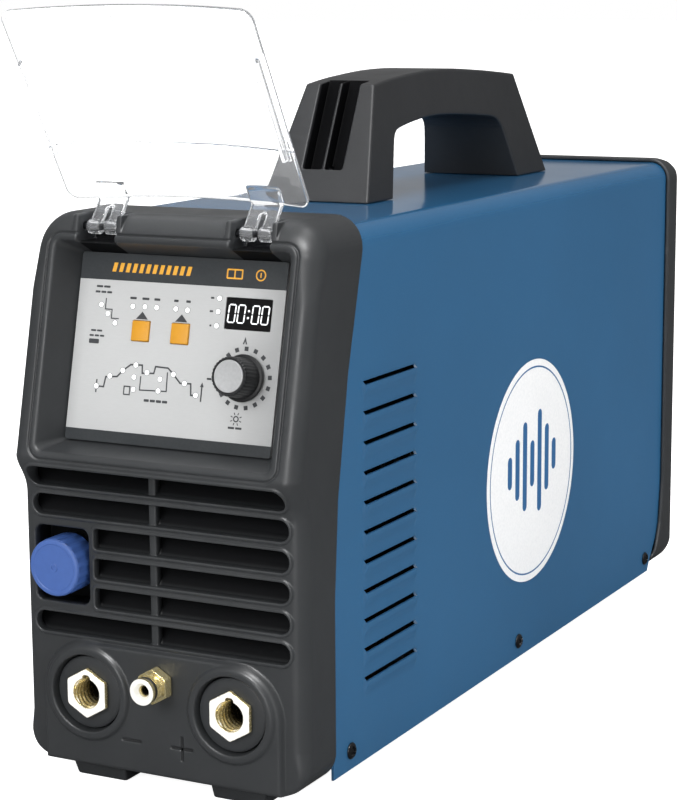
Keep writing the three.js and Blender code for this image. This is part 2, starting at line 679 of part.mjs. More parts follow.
// Hinge clip: a barrel on the hinge line and two prongs up to the sheet.
function lidClip(side) {
  const x0 = side * CLIP_X - CLIP_HALF;
  const x1 = side * CLIP_X + CLIP_HALF;
  const hinge = vec(0, HINGE_Y, HINGE_Z);
  const bend = LID_EDGE.clone().addScaledVector(LID_BACK, 2);
  const tip = bend.clone().addScaledVector(LID_UP, 7);
  const along = bend.clone().sub(hinge).normalize();
  const across = (point, offset) => [point.y + along.z * offset, point.z - along.y * offset];
  const arm = [across(hinge, -1.2), across(hinge, 1.2), across(bend, 1.2), across(bend, -1.2)];
  const end = [
    across(bend, -1.4), across(bend, 1.4), [tip.y + 0.6, tip.z], [tip.y - 0.6, tip.z - 0.3],
  ];
  const prongGap = [[15, 255], [40, 255], [40, 273.5], [15, 273.5]];
  return cut(
    join(cylX(HINGE_Y, HINGE_Z, 3.5, x0, x1, 14), alongX(arm, x0, x1), alongX(end, x0, x1)),
    cylX(HINGE_Y, HINGE_Z, PIN_R + GAP, x0 - 1, x1 + 1, 12),
    alongX(prongGap, side * CLIP_X - 1.7, side * CLIP_X + 1.7),
  );
}
add("clear_cover", join(lidSheet(), SIDES.map(lidClip)), MATERIAL.clear);
for (const side of SIDES) {
  const middle = side * CLIP_X;
  const pin = cylX(HINGE_Y, HINGE_Z, PIN_R, middle - 13, middle + 13, 12);
  add(`cover_pin_${sideName(side)}`, pin, MATERIAL.steel);
}

// ---------------------------------------------------------------- control panel
// Places on the panel are x across and UP from the opening's lower edge.
const KNOB_X = 38.2;
const KNOB_UP = 42.6;
const KNOB_R = 10.1;
const BUTTON_UP = 60.8;
const BUTTON_X = { mode: -19.4, trigger: 2.1 };
const BUTTON_HALF = 4.75;
const DISPLAY = { x0: 25.1, x1: 49.6, up0: 64.5, up1: 79.4 }; // window
const THROUGH = [-20, -5]; // cuts right through the overlay
const BOARD_FACE = -23.1;
const BOARD_THICK = 1.6;
const PART_BACK = BOARD_FACE + GAP; // back of the components on the board

const knobStack = (...rows) => stack(panelCyl, KNOB_X, KNOB_UP, rows);
// The display window, widened by the margins.
const displayBox = (left, right, ends, out0, out1) =>
  panelBox(
    DISPLAY.x0 - left,
    DISPLAY.x1 + right,
    DISPLAY.up0 - ends,
    DISPLAY.up1 + ends,
    out0,
    out1,
  );

function panelOverlay() {
  const outline = roundRect(-OVERLAY_HALF, OVERLAY_HALF, OVERLAY_LOW, OVERLAY_HIGH, 1.5, 2);
  return cut(
    onPanel(outline, OVERLAY_BACK, -PANEL_DEPTH),
    knobStack([4.4, ...THROUGH, 16]),
    Object.values(BUTTON_X).map((x) =>
      panelSquare(x, BUTTON_UP, BUTTON_HALF + GAP, ...THROUGH),
    ),
    displayBox(0, 0, 0, ...THROUGH),
  );
}
add("panel_overlay", panelOverlay(), MATERIAL.silver);
add(
  "control_board",
  panelBox(-53.5, 53.5, 8, 96, BOARD_FACE - BOARD_THICK, BOARD_FACE),
  MATERIAL.pcb,
);
add(
  "display_module",
  join(
    displayBox(1.6, 0.1, 1.4, PART_BACK, -14.9),
    displayBox(-GAP, -GAP, -GAP, -15, -13.5),
  ),
  MATERIAL.black,
);

// Rotary encoder: body with its threaded bushing, sliding plunger disc, turning shaft.
function encoderBody() {
  const body = panelBox(
    KNOB_X - 6.2,
    KNOB_X + 6.2,
    KNOB_UP - 6.6,
    KNOB_UP + 6.6,
    PART_BACK,
    -15.2,
  );
  return cut(
    join(body, knobStack([4, -16, -10.2, 16])),
    knobStack([3.35, -20, -9, 16], [5.2, -23.5, -17.6, 16]),
  );
}
add("encoder_body", encoderBody(), MATERIAL.steel);
add("encoder_plunger", knobStack([4.8, -21.6, -20.2, 14]), MATERIAL.white);
add("encoder_shaft", knobStack([4.6, -19.9, -18.3, 14], [3, -19, -2.4, 14]), MATERIAL.alu);
add(
  "selector_knob",
  cut(
    knobStack([KNOB_R + 0.9, -12.3, -10.8, 28], [KNOB_R - 0.9, -11, 1.2, 28]),
    knobStack([4.7, -13, -8.4, 16], [3.3, -9, -2, 14], [7.8, 0, 3, 24]),
  ),
  MATERIAL.black,
);
add("knob_cap", knobStack([7.5, 0.3, 1.5, 24]), MATERIAL.alu);

for (const [name, x] of Object.entries(BUTTON_X)) {
  const button = join(
    panelSquare(x, BUTTON_UP, BUTTON_HALF, -15, -12.1),
    panelSquare(x, BUTTON_UP, 5.8, -15.9, -14.9),
  );
  const tactSwitch = join(
    panelSquare(x, BUTTON_UP, 3.1, PART_BACK, -19.2),
    panelCyl(x, BUTTON_UP, 1.75, -19.4, -16.9, 10),
  );
  add(`button_${name}`, button, MATERIAL.orange);
  add(`tact_switch_${name}`, tactSwitch, MATERIAL.black);
}

// ---------------------------------------------------------------- welding-cable sockets
const HEX_R = 12.3; // brass hexagon, centre to corner
const SOCKET_BORE_R = 6.6;

for (const side of SIDES) {
  const x = side * SOCKET_X;
  const name = side > 0 ? "positive" : "negative";
  const rods = (...rows) => stack(cylY, x, SOCKET_Z, rows);
  const keyway = roundRect(
    x - 2.1,
    x + 2.1,
    SOCKET_Z + 3,
    SOCKET_Z + 9,
    [0.1, 0.1, 1.8, 1.8],
    3,
  );
  add(
    `socket_insulator_${name}`,
    cut(rods([15.8, -2.2, 1.2, 24], [12.7, 1, 26, 20]), rods([10.3, -5, 30, 20])),
    MATERIAL.black,
  );
  add(
    `socket_brass_${name}`,
    cut(
      rods([HEX_R, RING_FRONT + 0.1, -2.5, 6, CORNER_UP], [10, -3, 40, 20]),
      rods([SOCKET_BORE_R, -8, 28, 20]),
      alongY(keyway, -8, 14),
    ),
    MATERIAL.brass,
  );
}

// ---------------------------------------------------------------- gas outlet and its nut
const OUTLET_STEPS = [
  [6.4, -17.7, -15.3, 18],
  [5.8, -15.5, -8.8, 16],
  [8.8, -9, PAD_FRONT - GAP, 6, CORNER_UP],
  [5, PAD_FRONT - GAP - 0.2, 18, 14],
  [3, 17.8, 29, 10],
];
// Bore with a conical mouth: radius, y.
const OUTLET_BORE = [[0, -19], [4.2, -19], [1.7, -14.4], [1.7, 26], [0, 26]];
add(
  "gas_outlet",
  cut(stack(cylY, 0, GAS_Z, OUTLET_STEPS), turnedY(OUTLET_BORE, 0, GAS_Z, 12)),
  MATERIAL.brass,
);
add(
  "gas_outlet_nut",
  cut(
    cylY(0, GAS_Z, 8.2, BEZEL_WALL + GAP, 8.5, 6, CORNER_UP),
    cylY(0, GAS_Z, 5.3, 2, 10, 14),
  ),
  MATERIAL.brass,
);

// ---------------------------------------------------------------- control socket and dust cap
const CAP_R = 14.1;
const CAP_GROOVE = 0.6; // depth of the grip grooves
const CAP_POINTS = 48; // outline points, two on each ridge and two in each groove
const CAP_FRONT = -7.5;
const CAP_REAR = 8.5;
const CONTROL_SOCKET_STEPS = [[13.4, 9.8, 12.7, 20], [11.3, -2, 10, 20], [10.2, 12, 34, 16]];

function dustCap() {
  const outline = [];
  for (let i = 0; i < CAP_POINTS; i++) {
    const angle = (i / CAP_POINTS) * 2 * Math.PI;
    const radius = i % 4 < 2 ? CAP_R : CAP_R - CAP_GROOVE;
    outline.push([CAP_X + radius * Math.cos(angle), CAP_Z + radius * Math.sin(angle)]);
  }
  return cut(alongY(outline, CAP_FRONT, CAP_REAR), cylY(CAP_X, CAP_Z, 11.7, -4.2, 12, 20));
}
add(
  "control_socket",
  cut(stack(cylY, CAP_X, CAP_Z, CONTROL_SOCKET_STEPS), cylY(CAP_X, CAP_Z, 9.2, -4, 4, 18)),
  MATERIAL.blackSteel,
);
add("dust_cap", dustCap(), MATERIAL.blue);

// ---------------------------------------------------------------- electronics
const BOARD_Z = 148;
const FINS = 7;
const FIN_PITCH = 8;

function heatsink() {
  const parts = [box(8, 60, 150, 330, 141, 147.6)];
  for (let i = 0; i < FINS; i++) {
    const x = 10 + i * FIN_PITCH;
    parts.push(box(x - 1, x + 1, 150, 330, 96, 141.5));
  }
  return join(parts);
}
add(
  "main_board",
  cut(box(-64, 64, 96, 420, BOARD_Z, BOARD_Z + 1.6), box(-12, 12, 90, 130, 140, 160)),
  MATERIAL.pcb,
);
for (const side of SIDES) {
  add(`heatsink_${sideName(side)}`, onSide(side, heatsink()), MATERIAL.alu);
}
add(
  "transformer_core",
  cut(
    box(-32, 32, 196, 246, 14, 70),
    box(-20, -9, 190, 250, 26, 58),
    box(9, 20, 190, 250, 26, 58),
  ),
  MATERIAL.ferrite,
);
add(
  "transformer_winding",
  cut(box(-19.6, 19.6, 186, 256, 26.4, 57.6), box(-9.4, 9.4, 195.5, 246.5, 20, 70)),
  MATERIAL.copper,
);
add(
  "output_choke",
  cut(cylZ(8, 140, 32, 14, 44, 20), cylZ(8, 140, 13, 10, 50, 14)),
  MATERIAL.copper,
);
add(
  "hf_coil",
  cut(cylY(-4, 34, 13, 80, 102, 16), cylY(-4, 34, 6, 78, 104, 12)),
  MATERIAL.copper,
);
for (const side of SIDES) {
  add(`capacitor_${sideName(side)}`, cylZ(side * 34, 370, 17.5, 150, 200, 18), MATERIAL.black);
}

// ---------------------------------------------------------------- fan
const FAN_HALF = 59.5;
const FAN_BORE_R = 57.5;
const FAN_SCREW = 52.5; // screw holes, across and up from the fan's axis
const HUB_PLATE = [485.1, 487.4]; // y from, to of the fixed hub and its struts
const BLADES = 7;
const BLADE_TWIST = 0.62; // radians
const GUARD_RINGS = [16, 28, 40, 52]; // mean radii
const WIRE_HALF = 0.9;

// Frame with its origin on the fan's axis, turned about that axis.
const fanFrame = (y, angle) =>
  new THREE.Matrix4()
    .makeTranslation(0, y, FAN_Z)
    .multiply(new THREE.Matrix4().makeRotationY(angle));
// Four diagonal spokes: half width, y from, to, radius from, to.
const spokes = (half, y0, y1, radius0, radius1) =>
  [0, 1, 2, 3].map((i) =>
    box(-half, half, y0, y1, radius0, radius1, fanFrame(0, Math.PI / 4 + (i * Math.PI) / 2)),
  );

function fanFrameSolid() {
  const outline = roundRect(-FAN_HALF, FAN_HALF, FAN_Z - FAN_HALF, FAN_Z + FAN_HALF, 5, 2);
  const frame = cut(
    alongY(outline, 463.1, 488.1),
    cylY(0, FAN_Z, FAN_BORE_R, 460, 495, 32),
    SIDES.flatMap((i) =>
      SIDES.map((j) => cylY(i * FAN_SCREW, FAN_Z + j * FAN_SCREW, 2.2, 460, 495, 8)),
    ),
  );
  return join(frame, cylY(0, FAN_Z, 20, ...HUB_PLATE, 20), spokes(2, ...HUB_PLATE, 16, 58.5));
}
function fanRotor() {
  const parts = [cylY(0, FAN_Z, 19.5, 464.8, 484.4, 20)];
  for (let i = 0; i < BLADES; i++) {
    const frame = fanFrame(474.8, (i * 2 * Math.PI) / BLADES).multiply(
      new THREE.Matrix4().makeRotationZ(BLADE_TWIST),
    );
    parts.push(box(-13.5, 13.5, -0.8, 0.8, 17, 53, frame));
  }
  return join(parts);
}
function fanGuard() {
  const rings = GUARD_RINGS.map((radius) =>
    cut(
      cylY(0, FAN_Z, radius + WIRE_HALF, REAR_FACE + 0.5, REAR_FACE + 2.3, 28),
      cylY(0, FAN_Z, radius - WIRE_HALF, REAR_FACE, REAR_FACE + 3, 28),
    ),
  );
  return join(rings, spokes(WIRE_HALF, REAR_FACE + 0.6, REAR_FACE + 2.2, 15.5, 68));
}
add("fan_frame", fanFrameSolid(), MATERIAL.black);
add("fan_rotor", fanRotor(), MATERIAL.black);
add("fan_guard", fanGuard(), MATERIAL.steel);

// ---------------------------------------------------------------- mains switch
const PIVOT_Y = 495.5;
const ROCKER_TURN = THREE.MathUtils.degToRad(-10);
// Side outline of the rocker about its pivot: y, z.
const ROCKER = [
  [-4, -3], [-4, 3], [0, 6.6], [6.8, 7.6], [5.4, 4], [4.9, 0], [5.4, -4], [6.8, -7.6], [0, -6.6],
];

function switchHousing() {
  const flange = roundRect(-17, 17, SWITCH_Z - 14, SWITCH_Z + 14, 1.5, 2);
  return cut(
    join(
      alongY(flange, REAR_FACE + GAP, REAR_FACE + 2),
      box(-14.6, 14.6, 476, REAR_FACE + 1, SWITCH_Z - 11.6, SWITCH_Z + 11.6),
    ),
    box(-12.3, 12.3, 487, 520, SWITCH_Z - 9.8, SWITCH_Z + 9.8),
  );
}
function switchRocker() {
  const cos = Math.cos(ROCKER_TURN);
  const sin = Math.sin(ROCKER_TURN);
  const outline = ROCKER.map(([y, z]) => [
    PIVOT_Y + y * cos - z * sin,
    SWITCH_Z + y * sin + z * cos,
  ]);
  return alongX(outline, -12, 12);
}
add("switch_housing", switchHousing(), MATERIAL.black);
add("switch_rocker", switchRocker(), MATERIAL.black);

// ---------------------------------------------------------------- mains cord and gland
// Points along the cord: x, y, z.
const CORD_PATH = [
  [CORD_X, 462, CORD_Z], [CORD_X, 490, CORD_Z], [CORD_X, 515, CORD_Z],
  [CORD_X, 531, CORD_Z - 3], [CORD_X, 540, CORD_Z - 15], [CORD_X, 542, 10],
];
// Profiles behind the rear face: radius, distance back from the face.
const GLAND_DOME = [[0, 4.8], [10.4, 4.8], [10.4, 9], [8, 14], [6, 15], [0, 15]];
const INLET_BARBS = [
  [0, 5], [4, 5], [4, 12], [5, 12.5], [4, 18], [5, 18.5], [3.6, 25], [0, 25],
];
const fromRearFace = (profile) => profile.map(([radius, back]) => [radius, REAR_FACE + back]);

function cordGland() {
  const rods = (...rows) => stack(cylY, CORD_X, CORD_Z, rows);
  return cut(
    join(
      rods([12, REAR_FACE + GAP, REAR_FACE + 5, 6, CORNER_UP]),
      turnedY(fromRearFace(GLAND_DOME), CORD_X, CORD_Z, 16),
      rods([8, 478, REAR_FACE + 1, 16]),
    ),
    rods([5, 470, REAR_FACE + 20, 14]),
  );
}
add("mains_cord", cord(CORD_PATH, 4.2, 12, 26), MATERIAL.rubber);
add("cord_gland", cordGland(), MATERIAL.black);

// ---------------------------------------------------------------- gas inlet, valve, hose
const PLUNGER_Y = 454.5;
// Points along the hose, from the valve to the gas outlet: x, y, z.
const HOSE_PATH = [
  [INLET_X, 439, 46], [INLET_X - 2, 424, 46], [-63, 396, 47], [-66, 350, 47], [-66, 120, 47],
  [-58, 84, 50], [-30, 66, 54], [-6, 54, GAS_Z], [0, 42, GAS_Z], [0, 29.4, GAS_Z],
];

function gasInlet() {
  const rods = (...rows) => stack(cylY, INLET_X, INLET_Z, rows);
  return cut(
    join(
      rods([6.1, 470, REAR_FACE + 1, 14]),
      rods([9.6, REAR_FACE + GAP, REAR_FACE + 6, 6, CORNER_UP]),
      turnedY(fromRearFace(INLET_BARBS), INLET_X, INLET_Z, 14),
    ),
    rods([2.2, 480, REAR_FACE + 30, 10]),
  );
}
function gasValve() {
  return cut(
    join(box(-59, -33, 440, 469.6, 36, 60), box(-57, -35, 443, 466, 59, 88)),
    cylZ(INLET_X, PLUNGER_Y, 4.4, 46, 100, 12),
    cylY(INLET_X, INLET_Z, 2.4, 458, 480, 8),
  );
}
add("gas_inlet", gasInlet(), MATERIAL.brass);
add("gas_valve", gasValve(), MATERIAL.steel);
add("valve_plunger", cylZ(INLET_X, PLUNGER_Y, 4, 46.4, 76, 12), MATERIAL.blackSteel);
add("gas_hose", cord(HOSE_PATH, 3.4, 8, 40), MATERIAL.rubber);

group.position.set(0, -ORIGIN_Y, 0);
export default group;
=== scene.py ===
"""A portable welding power source: sloping control panel, louvred steel cover, carrying handle.

The looks are laid out in millimetres: x to the right as seen from the front, y from the grille
face (y = 0) to the back, z up from the floor. They become scene metres as each mesh is made.
"""

import json
import math

import bmesh
import bpy
import numpy as np
from mathutils import Matrix, Vector
from mathutils.geometry import tessellate_polygon


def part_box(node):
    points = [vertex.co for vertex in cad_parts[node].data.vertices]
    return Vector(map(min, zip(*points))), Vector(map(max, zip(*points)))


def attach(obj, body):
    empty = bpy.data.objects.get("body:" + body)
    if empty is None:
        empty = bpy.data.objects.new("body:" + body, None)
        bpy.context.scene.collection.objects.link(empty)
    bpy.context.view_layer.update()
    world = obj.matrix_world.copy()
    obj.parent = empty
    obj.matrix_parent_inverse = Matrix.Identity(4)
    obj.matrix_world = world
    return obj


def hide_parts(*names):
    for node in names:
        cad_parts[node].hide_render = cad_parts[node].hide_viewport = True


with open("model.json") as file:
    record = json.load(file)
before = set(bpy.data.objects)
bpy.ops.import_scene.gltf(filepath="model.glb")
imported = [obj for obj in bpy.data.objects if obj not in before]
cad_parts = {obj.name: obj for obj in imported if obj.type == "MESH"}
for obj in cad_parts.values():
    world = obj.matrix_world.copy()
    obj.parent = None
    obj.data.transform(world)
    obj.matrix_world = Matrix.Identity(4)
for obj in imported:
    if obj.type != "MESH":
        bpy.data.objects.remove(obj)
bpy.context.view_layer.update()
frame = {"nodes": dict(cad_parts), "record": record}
nodes = frame["nodes"]

MM = 0.001
COVER_EDGE_Y = 24.0  # front edge of the steel cover
ORIGIN_Y = COVER_EDGE_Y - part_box("outer_shell")[0].y * 1000.0  # where the scene's y = 0 lies

# The control panel leans back from its lower rim.
LEAN = math.radians(12.94)
SIN_LEAN, COS_LEAN = math.sin(LEAN), math.cos(LEAN)
RIM_Y, RIM_Z = -7.1, 161.1

# Places shared by several pieces
HINGE_X, HINGE_Y, HINGE_Z = 41.5, 24, 265
SOCKET_X, SOCKET_Z = 39.4, 44.7
OUTLET_Z = 54.5
CAP_X, CAP_Z = -54.3, 105.3
FAN_Z = 165
REAR_FITTING_X, REAR_FITTING_Z = 46, 48
REAR_SCREW_X, REAR_SCREW_Z = (-65, 65), (26, 250)
KNOB_X, KNOB_UP = 38.2, 42.6
KEYS = {"mode": -19.4, "trigger": 2.1}  # x of each key
KEY_UP = 60.8
SIDES = (-1, 1)


# ------------------------------------------------------------------ objects
def to_metres(points):
    """Layout millimetres to scene metres."""
    moved = np.asarray(points, np.float64).reshape(-1, 3).copy()
    moved[:, 1] -= ORIGIN_Y
    return moved * MM


def scene_y(y):
    return (y - ORIGIN_Y) * MM


def link_object(name, data, mats=()):
    ob = bpy.data.objects.new(name, data)
    bpy.context.scene.collection.objects.link(ob)
    for mat in mats:
        data.materials.append(MAT[mat])
    return ob


def declare(ob, body="machine", slot=None, replaced=None):
    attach(ob, body)
    if replaced:
        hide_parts(replaced)


def shade_smooth(mesh):
    mesh.polygons.foreach_set("use_smooth", np.ones(len(mesh.polygons), bool))


def triangle_mesh(name, points, tris):
    mesh = bpy.data.meshes.new(name)
    count = len(tris)
    mesh.vertices.add(len(points))
    mesh.vertices.foreach_set("co", points.astype(np.float32).ravel())
    mesh.loops.add(count * 3)
    mesh.loops.foreach_set("vertex_index", tris.astype(np.int32).ravel())
    mesh.polygons.add(count)
    mesh.polygons.foreach_set("loop_start", (np.arange(count) * 3).astype(np.int32))
    mesh.polygons.foreach_set("loop_total", np.full(count, 3, np.int32))
    mesh.update(calc_edges=True)
    return mesh


def finish_shape(name, shape, mats=None, sharp=40, slot=None, **told):
    """Turn a bmesh in layout millimetres into an object; its material is the slot's by default."""
    bmesh.ops.recalc_face_normals(shape, faces=shape.faces)
    scale = Matrix.Diagonal((MM, MM, MM, 1)) @ Matrix.Translation((0, -ORIGIN_Y, 0))
    bmesh.ops.transform(shape, matrix=scale, verts=shape.verts)
    mesh = bpy.data.meshes.new(name)
    shape.to_mesh(mesh)
    shape.free()
    shade_smooth(mesh)
    mesh.set_sharp_from_angle(angle=math.radians(sharp))
    declare(link_object(name, mesh, mats or [slot]), slot=slot, **told)


# ------------------------------------------------------------------ local frames
def axes_matrix(origin, x_axis, y_axis, z_axis):
    return Matrix(((*x_axis, 0), (*y_axis, 0), (*z_axis, 0), (*origin, 1))).transposed()


def front_frame(x, y, z):
    """Local z points to the front."""
    return axes_matrix((x, y, z), (1, 0, 0), (0, 0, 1), (0, -1, 0))


def panel_point(x, up, out):
    return (
        x,
        RIM_Y + up * SIN_LEAN - out * COS_LEAN,
        RIM_Z + up * COS_LEAN + out * SIN_LEAN,
    )


def panel_frame(x=0, up=0):
    """Local y runs up the panel and local z out of it."""
    origin = panel_point(x, up, 0)
    return axes_matrix(origin, (1, 0, 0), (0, SIN_LEAN, COS_LEAN), (0, -COS_LEAN, SIN_LEAN))


# ------------------------------------------------------------------ outlines, prisms and lathes
def rounded_rect(x0, x1, y0, y1, radius, seg=5):
    """One radius, or four from the lower left corner anticlockwise."""
    r = radius if isinstance(radius, tuple) else (radius,) * 4
    out = []
    for cx, cy, corner, start in (
        (x0 + r[0], y0 + r[0], r[0], math.pi),
        (x1 - r[1], y0 + r[1], r[1], 1.5 * math.pi),
        (x1 - r[2], y1 - r[2], r[2], 0),
        (x0 + r[3], y1 - r[3], r[3], 0.5 * math.pi),
    ):
        for i in range(seg + 1):
            angle = start + i / seg * math.pi / 2
            out.append((cx + corner * math.cos(angle), cy + corner * math.sin(angle)))
    return out


def circle(cx, cy, radius, count=24):
    turns = [2 * math.pi * i / count for i in range(count)]
    return [(cx + radius * math.cos(a), cy + radius * math.sin(a)) for a in turns]


def ribbon(points, width):
    """Outline of a mitred line of the given width."""
    line = [Vector(point) for point in points]
    left, right = [], []
    for i, point in enumerate(line):
        before = (point - line[i - 1]).normalized() if i else None
        after = (line[i + 1] - point).normalized() if i < len(line) - 1 else None
        before = before or after
        after = after or before
        along = (before + after).normalized()
        normal = Vector((-along.y, along.x))
        mitre = 1 / max(0.45, normal.dot(Vector((-before.y, before.x))))
        left.append(tuple(point + normal * width / 2 * mitre))
        right.append(tuple(point - normal * width / 2 * mitre))
    return left + right[::-1]


def add_prism(shape, matrix, outline, bottom, top, mat=0, holes=()):
    """A prism from a 2D outline with optional holes."""
    loops = [list(outline)] + [list(hole) for hole in holes]
    flat = [point for loop in loops for point in loop]
    tris = tessellate_polygon([[Vector((p[0], p[1], 0)) for p in loop] for loop in loops])
    low = [shape.verts.new(matrix @ Vector((p[0], p[1], bottom))) for p in flat]
    high = [shape.verts.new(matrix @ Vector((p[0], p[1], top))) for p in flat]
    faces = []
    for tri in tris:
        if len(set(tri)) < 3:
            continue
        # Guards against the tessellator giving the same triangle twice.
        try:
            faces.append(shape.faces.new([high[i] for i in tri]))
            faces.append(shape.faces.new([low[i] for i in reversed(tri)]))
        except ValueError:
            pass
    base = 0
    for loop in loops:
        count = len(loop)
        for i in range(count):
            a, b = base + i, base + (i + 1) % count
            faces.append(shape.faces.new((low[a], low[b], high[b], high[a])))
        base += count
    for face in faces:
        face.material_index = mat


def add_lathe(shape, matrix, profile, count, mat=0, wave=None):
    """A turned piece about local z from points (radius, z); wave(angle, i) scales point i."""
    rings = []
    for i, (radius, z) in enumerate(profile):
        if radius < 1e-6:
            rings.append([shape.verts.new(matrix @ Vector((0, 0, z)))])
            continue
        ring = []
        for k in range(count):
            angle = 2 * math.pi * k / count
            r = radius * (wave(angle, i) if wave else 1)
            point = Vector((r * math.cos(angle), r * math.sin(angle), z))
            ring.append(shape.verts.new(matrix @ point))
        rings.append(ring)
    for a, b in zip(rings, rings[1:]):
        for k in range(count):
            j = (k + 1) % count
            if len(a) == 1:
                corners = (a[0], b[j], b[k])
            elif len(b) == 1:
                corners = (a[k], a[j], b[0])
            else:
                corners = (a[k], a[j], b[j], b[k])
            shape.faces.new(corners).material_index = mat


def add_tube(shape, points, radius, closed=False, count=12, mat=0):
    """A round bar along a line of points."""
    points = [Vector(point) for point in points]
    total = len(points)
    rings = []
    up = None
    for i, point in enumerate(points):
        before = points[(i - 1) % total] if closed or i else point
        after = points[(i + 1) % total] if closed or i < total - 1 else point
        along = (after - before).normalized()
        if up is None:
            up = along.orthogonal().normalized()
        up = (up - along * up.dot(along)).normalized()
        across = along.cross(up)
        turns = (2 * math.pi * k / count for k in range(count))
        rings.append([
            shape.verts.new(point + (up * math.cos(a) + across * math.sin(a)) * radius)
            for a in turns
        ])

    def skin(a, b, shift=0):
        for k in range(count):
            j = (k + 1) % count
            corners = (a[k], a[j], b[(j + shift) % count], b[(k + shift) % count])
            shape.faces.new(corners).material_index = mat

    for a, b in zip(rings, rings[1:]):
        skin(a, b)
    if closed:
        last, first = rings[-1], rings[0]
        skin(last, first, min(range(count), key=lambda o: (last[0].co - first[o].co).length))
    else:
        for ring in (rings[0][::-1], rings[-1]):
            shape.faces.new(ring).material_index = mat


# ------------------------------------------------------------------ distance fields
# A solid is a signed distance, negative inside. Combining solids is arithmetic on distances.
def meet(first, *others):
    """The part common to all the solids."""
    for other in others:
        first = np.maximum(first, other)
    return first


def join(first, *others):
    for other in others:
        first = np.minimum(first, other)
    return first


def round_meet(a, b, r):
    """Intersection of two solids with a round of radius r along their edge."""
    return np.minimum(np.maximum(a, b), -r) + np.hypot(np.maximum(a + r, 0), np.maximum(b + r, 0))


def round_join(a, b, r):
    """Union of two solids with a fillet of radius r in the corner between them."""
    return -round_meet(-a, -b, r)


def slab(value, low, high):
    return np.maximum(low - value, value - high)


def poly_distance(px, py, points):
    """Signed distance to a closed outline."""
    points = np.asarray(points, float)
    dist = np.full(np.broadcast(px, py).shape, 1e9)
    inside = np.zeros(dist.shape, bool)
    for a, b in zip(points, np.roll(points, -1, 0)):
        edge = b - a
        if edge @ edge < 1e-12:
            continue
        qx, qy = px - a[0], py - a[1]
        along = np.clip((qx * edge[0] + qy * edge[1]) / (edge @ edge), 0, 1)
        dist = np.minimum(dist, np.hypot(qx - edge[0] * along, qy - edge[1] * along))
        if a[1] != b[1]:
            crossing = (b[0] - a[0]) * (py - a[1]) / (b[1] - a[1]) + a[0]
            inside ^= ((a[1] > py) != (b[1] > py)) & (px < crossing)
    return np.where(inside, -dist, dist)


def corner_distance(qx, qy, r):
    """Distance to a rounded corner from the distances to its two edges."""
    qx, qy = qx + r, qy + r
    return np.minimum(np.maximum(qx, qy), 0) + np.hypot(np.maximum(qx, 0), np.maximum(qy, 0)) - r


def rect_distance(px, py, x0, x1, y0, y1, r=0.0):
    qx = np.abs(px - (x0 + x1) / 2) - (x1 - x0) / 2
    qy = np.abs(py - (y0 + y1) / 2) - (y1 - y0) / 2
    return corner_distance(qx, qy, r)


def hexagon(a, b, corner_radius):
    flat_radius = corner_radius * math.cos(math.pi / 6)
    turns = [math.pi / 2 + math.pi / 6 + i * math.pi / 3 for i in range(3)]
    return meet(*(np.abs(a * math.cos(t) + b * math.sin(t)) - flat_radius for t in turns))


def smooth_line(points, step=0.6):
    """A Catmull-Rom curve through points."""
    given = np.asarray(points, float)
    q = np.vstack([2 * given[0] - given[1], given, 2 * given[-1] - given[-2]])
    out = []
    for i in range(1, len(q) - 2):
        count = max(2, int(np.hypot(*(q[i + 1] - q[i])) / step))
        for t in np.arange(count) / count:
            a = 2 * q[i]
            b = q[i + 1] - q[i - 1]
            c = 2 * q[i - 1] - 5 * q[i] + 4 * q[i + 1] - q[i + 2]
            d = -q[i - 1] + 3 * q[i] - 3 * q[i + 1] + q[i + 2]
            out.append((a + b * t + c * t * t + d * t**3) / 2)
    out.append(given[-1])
    return [tuple(point) for point in out]


def crop(array, part):
    """Cut an array that may be one cell thick along some axes to a sub-block."""
    return array[tuple(s if n > 1 else slice(None) for s, n in zip(part, array.shape))]


CORNERS = np.array([(a, b, c) for a in (0, 1) for b in (0, 1) for c in (0, 1)])


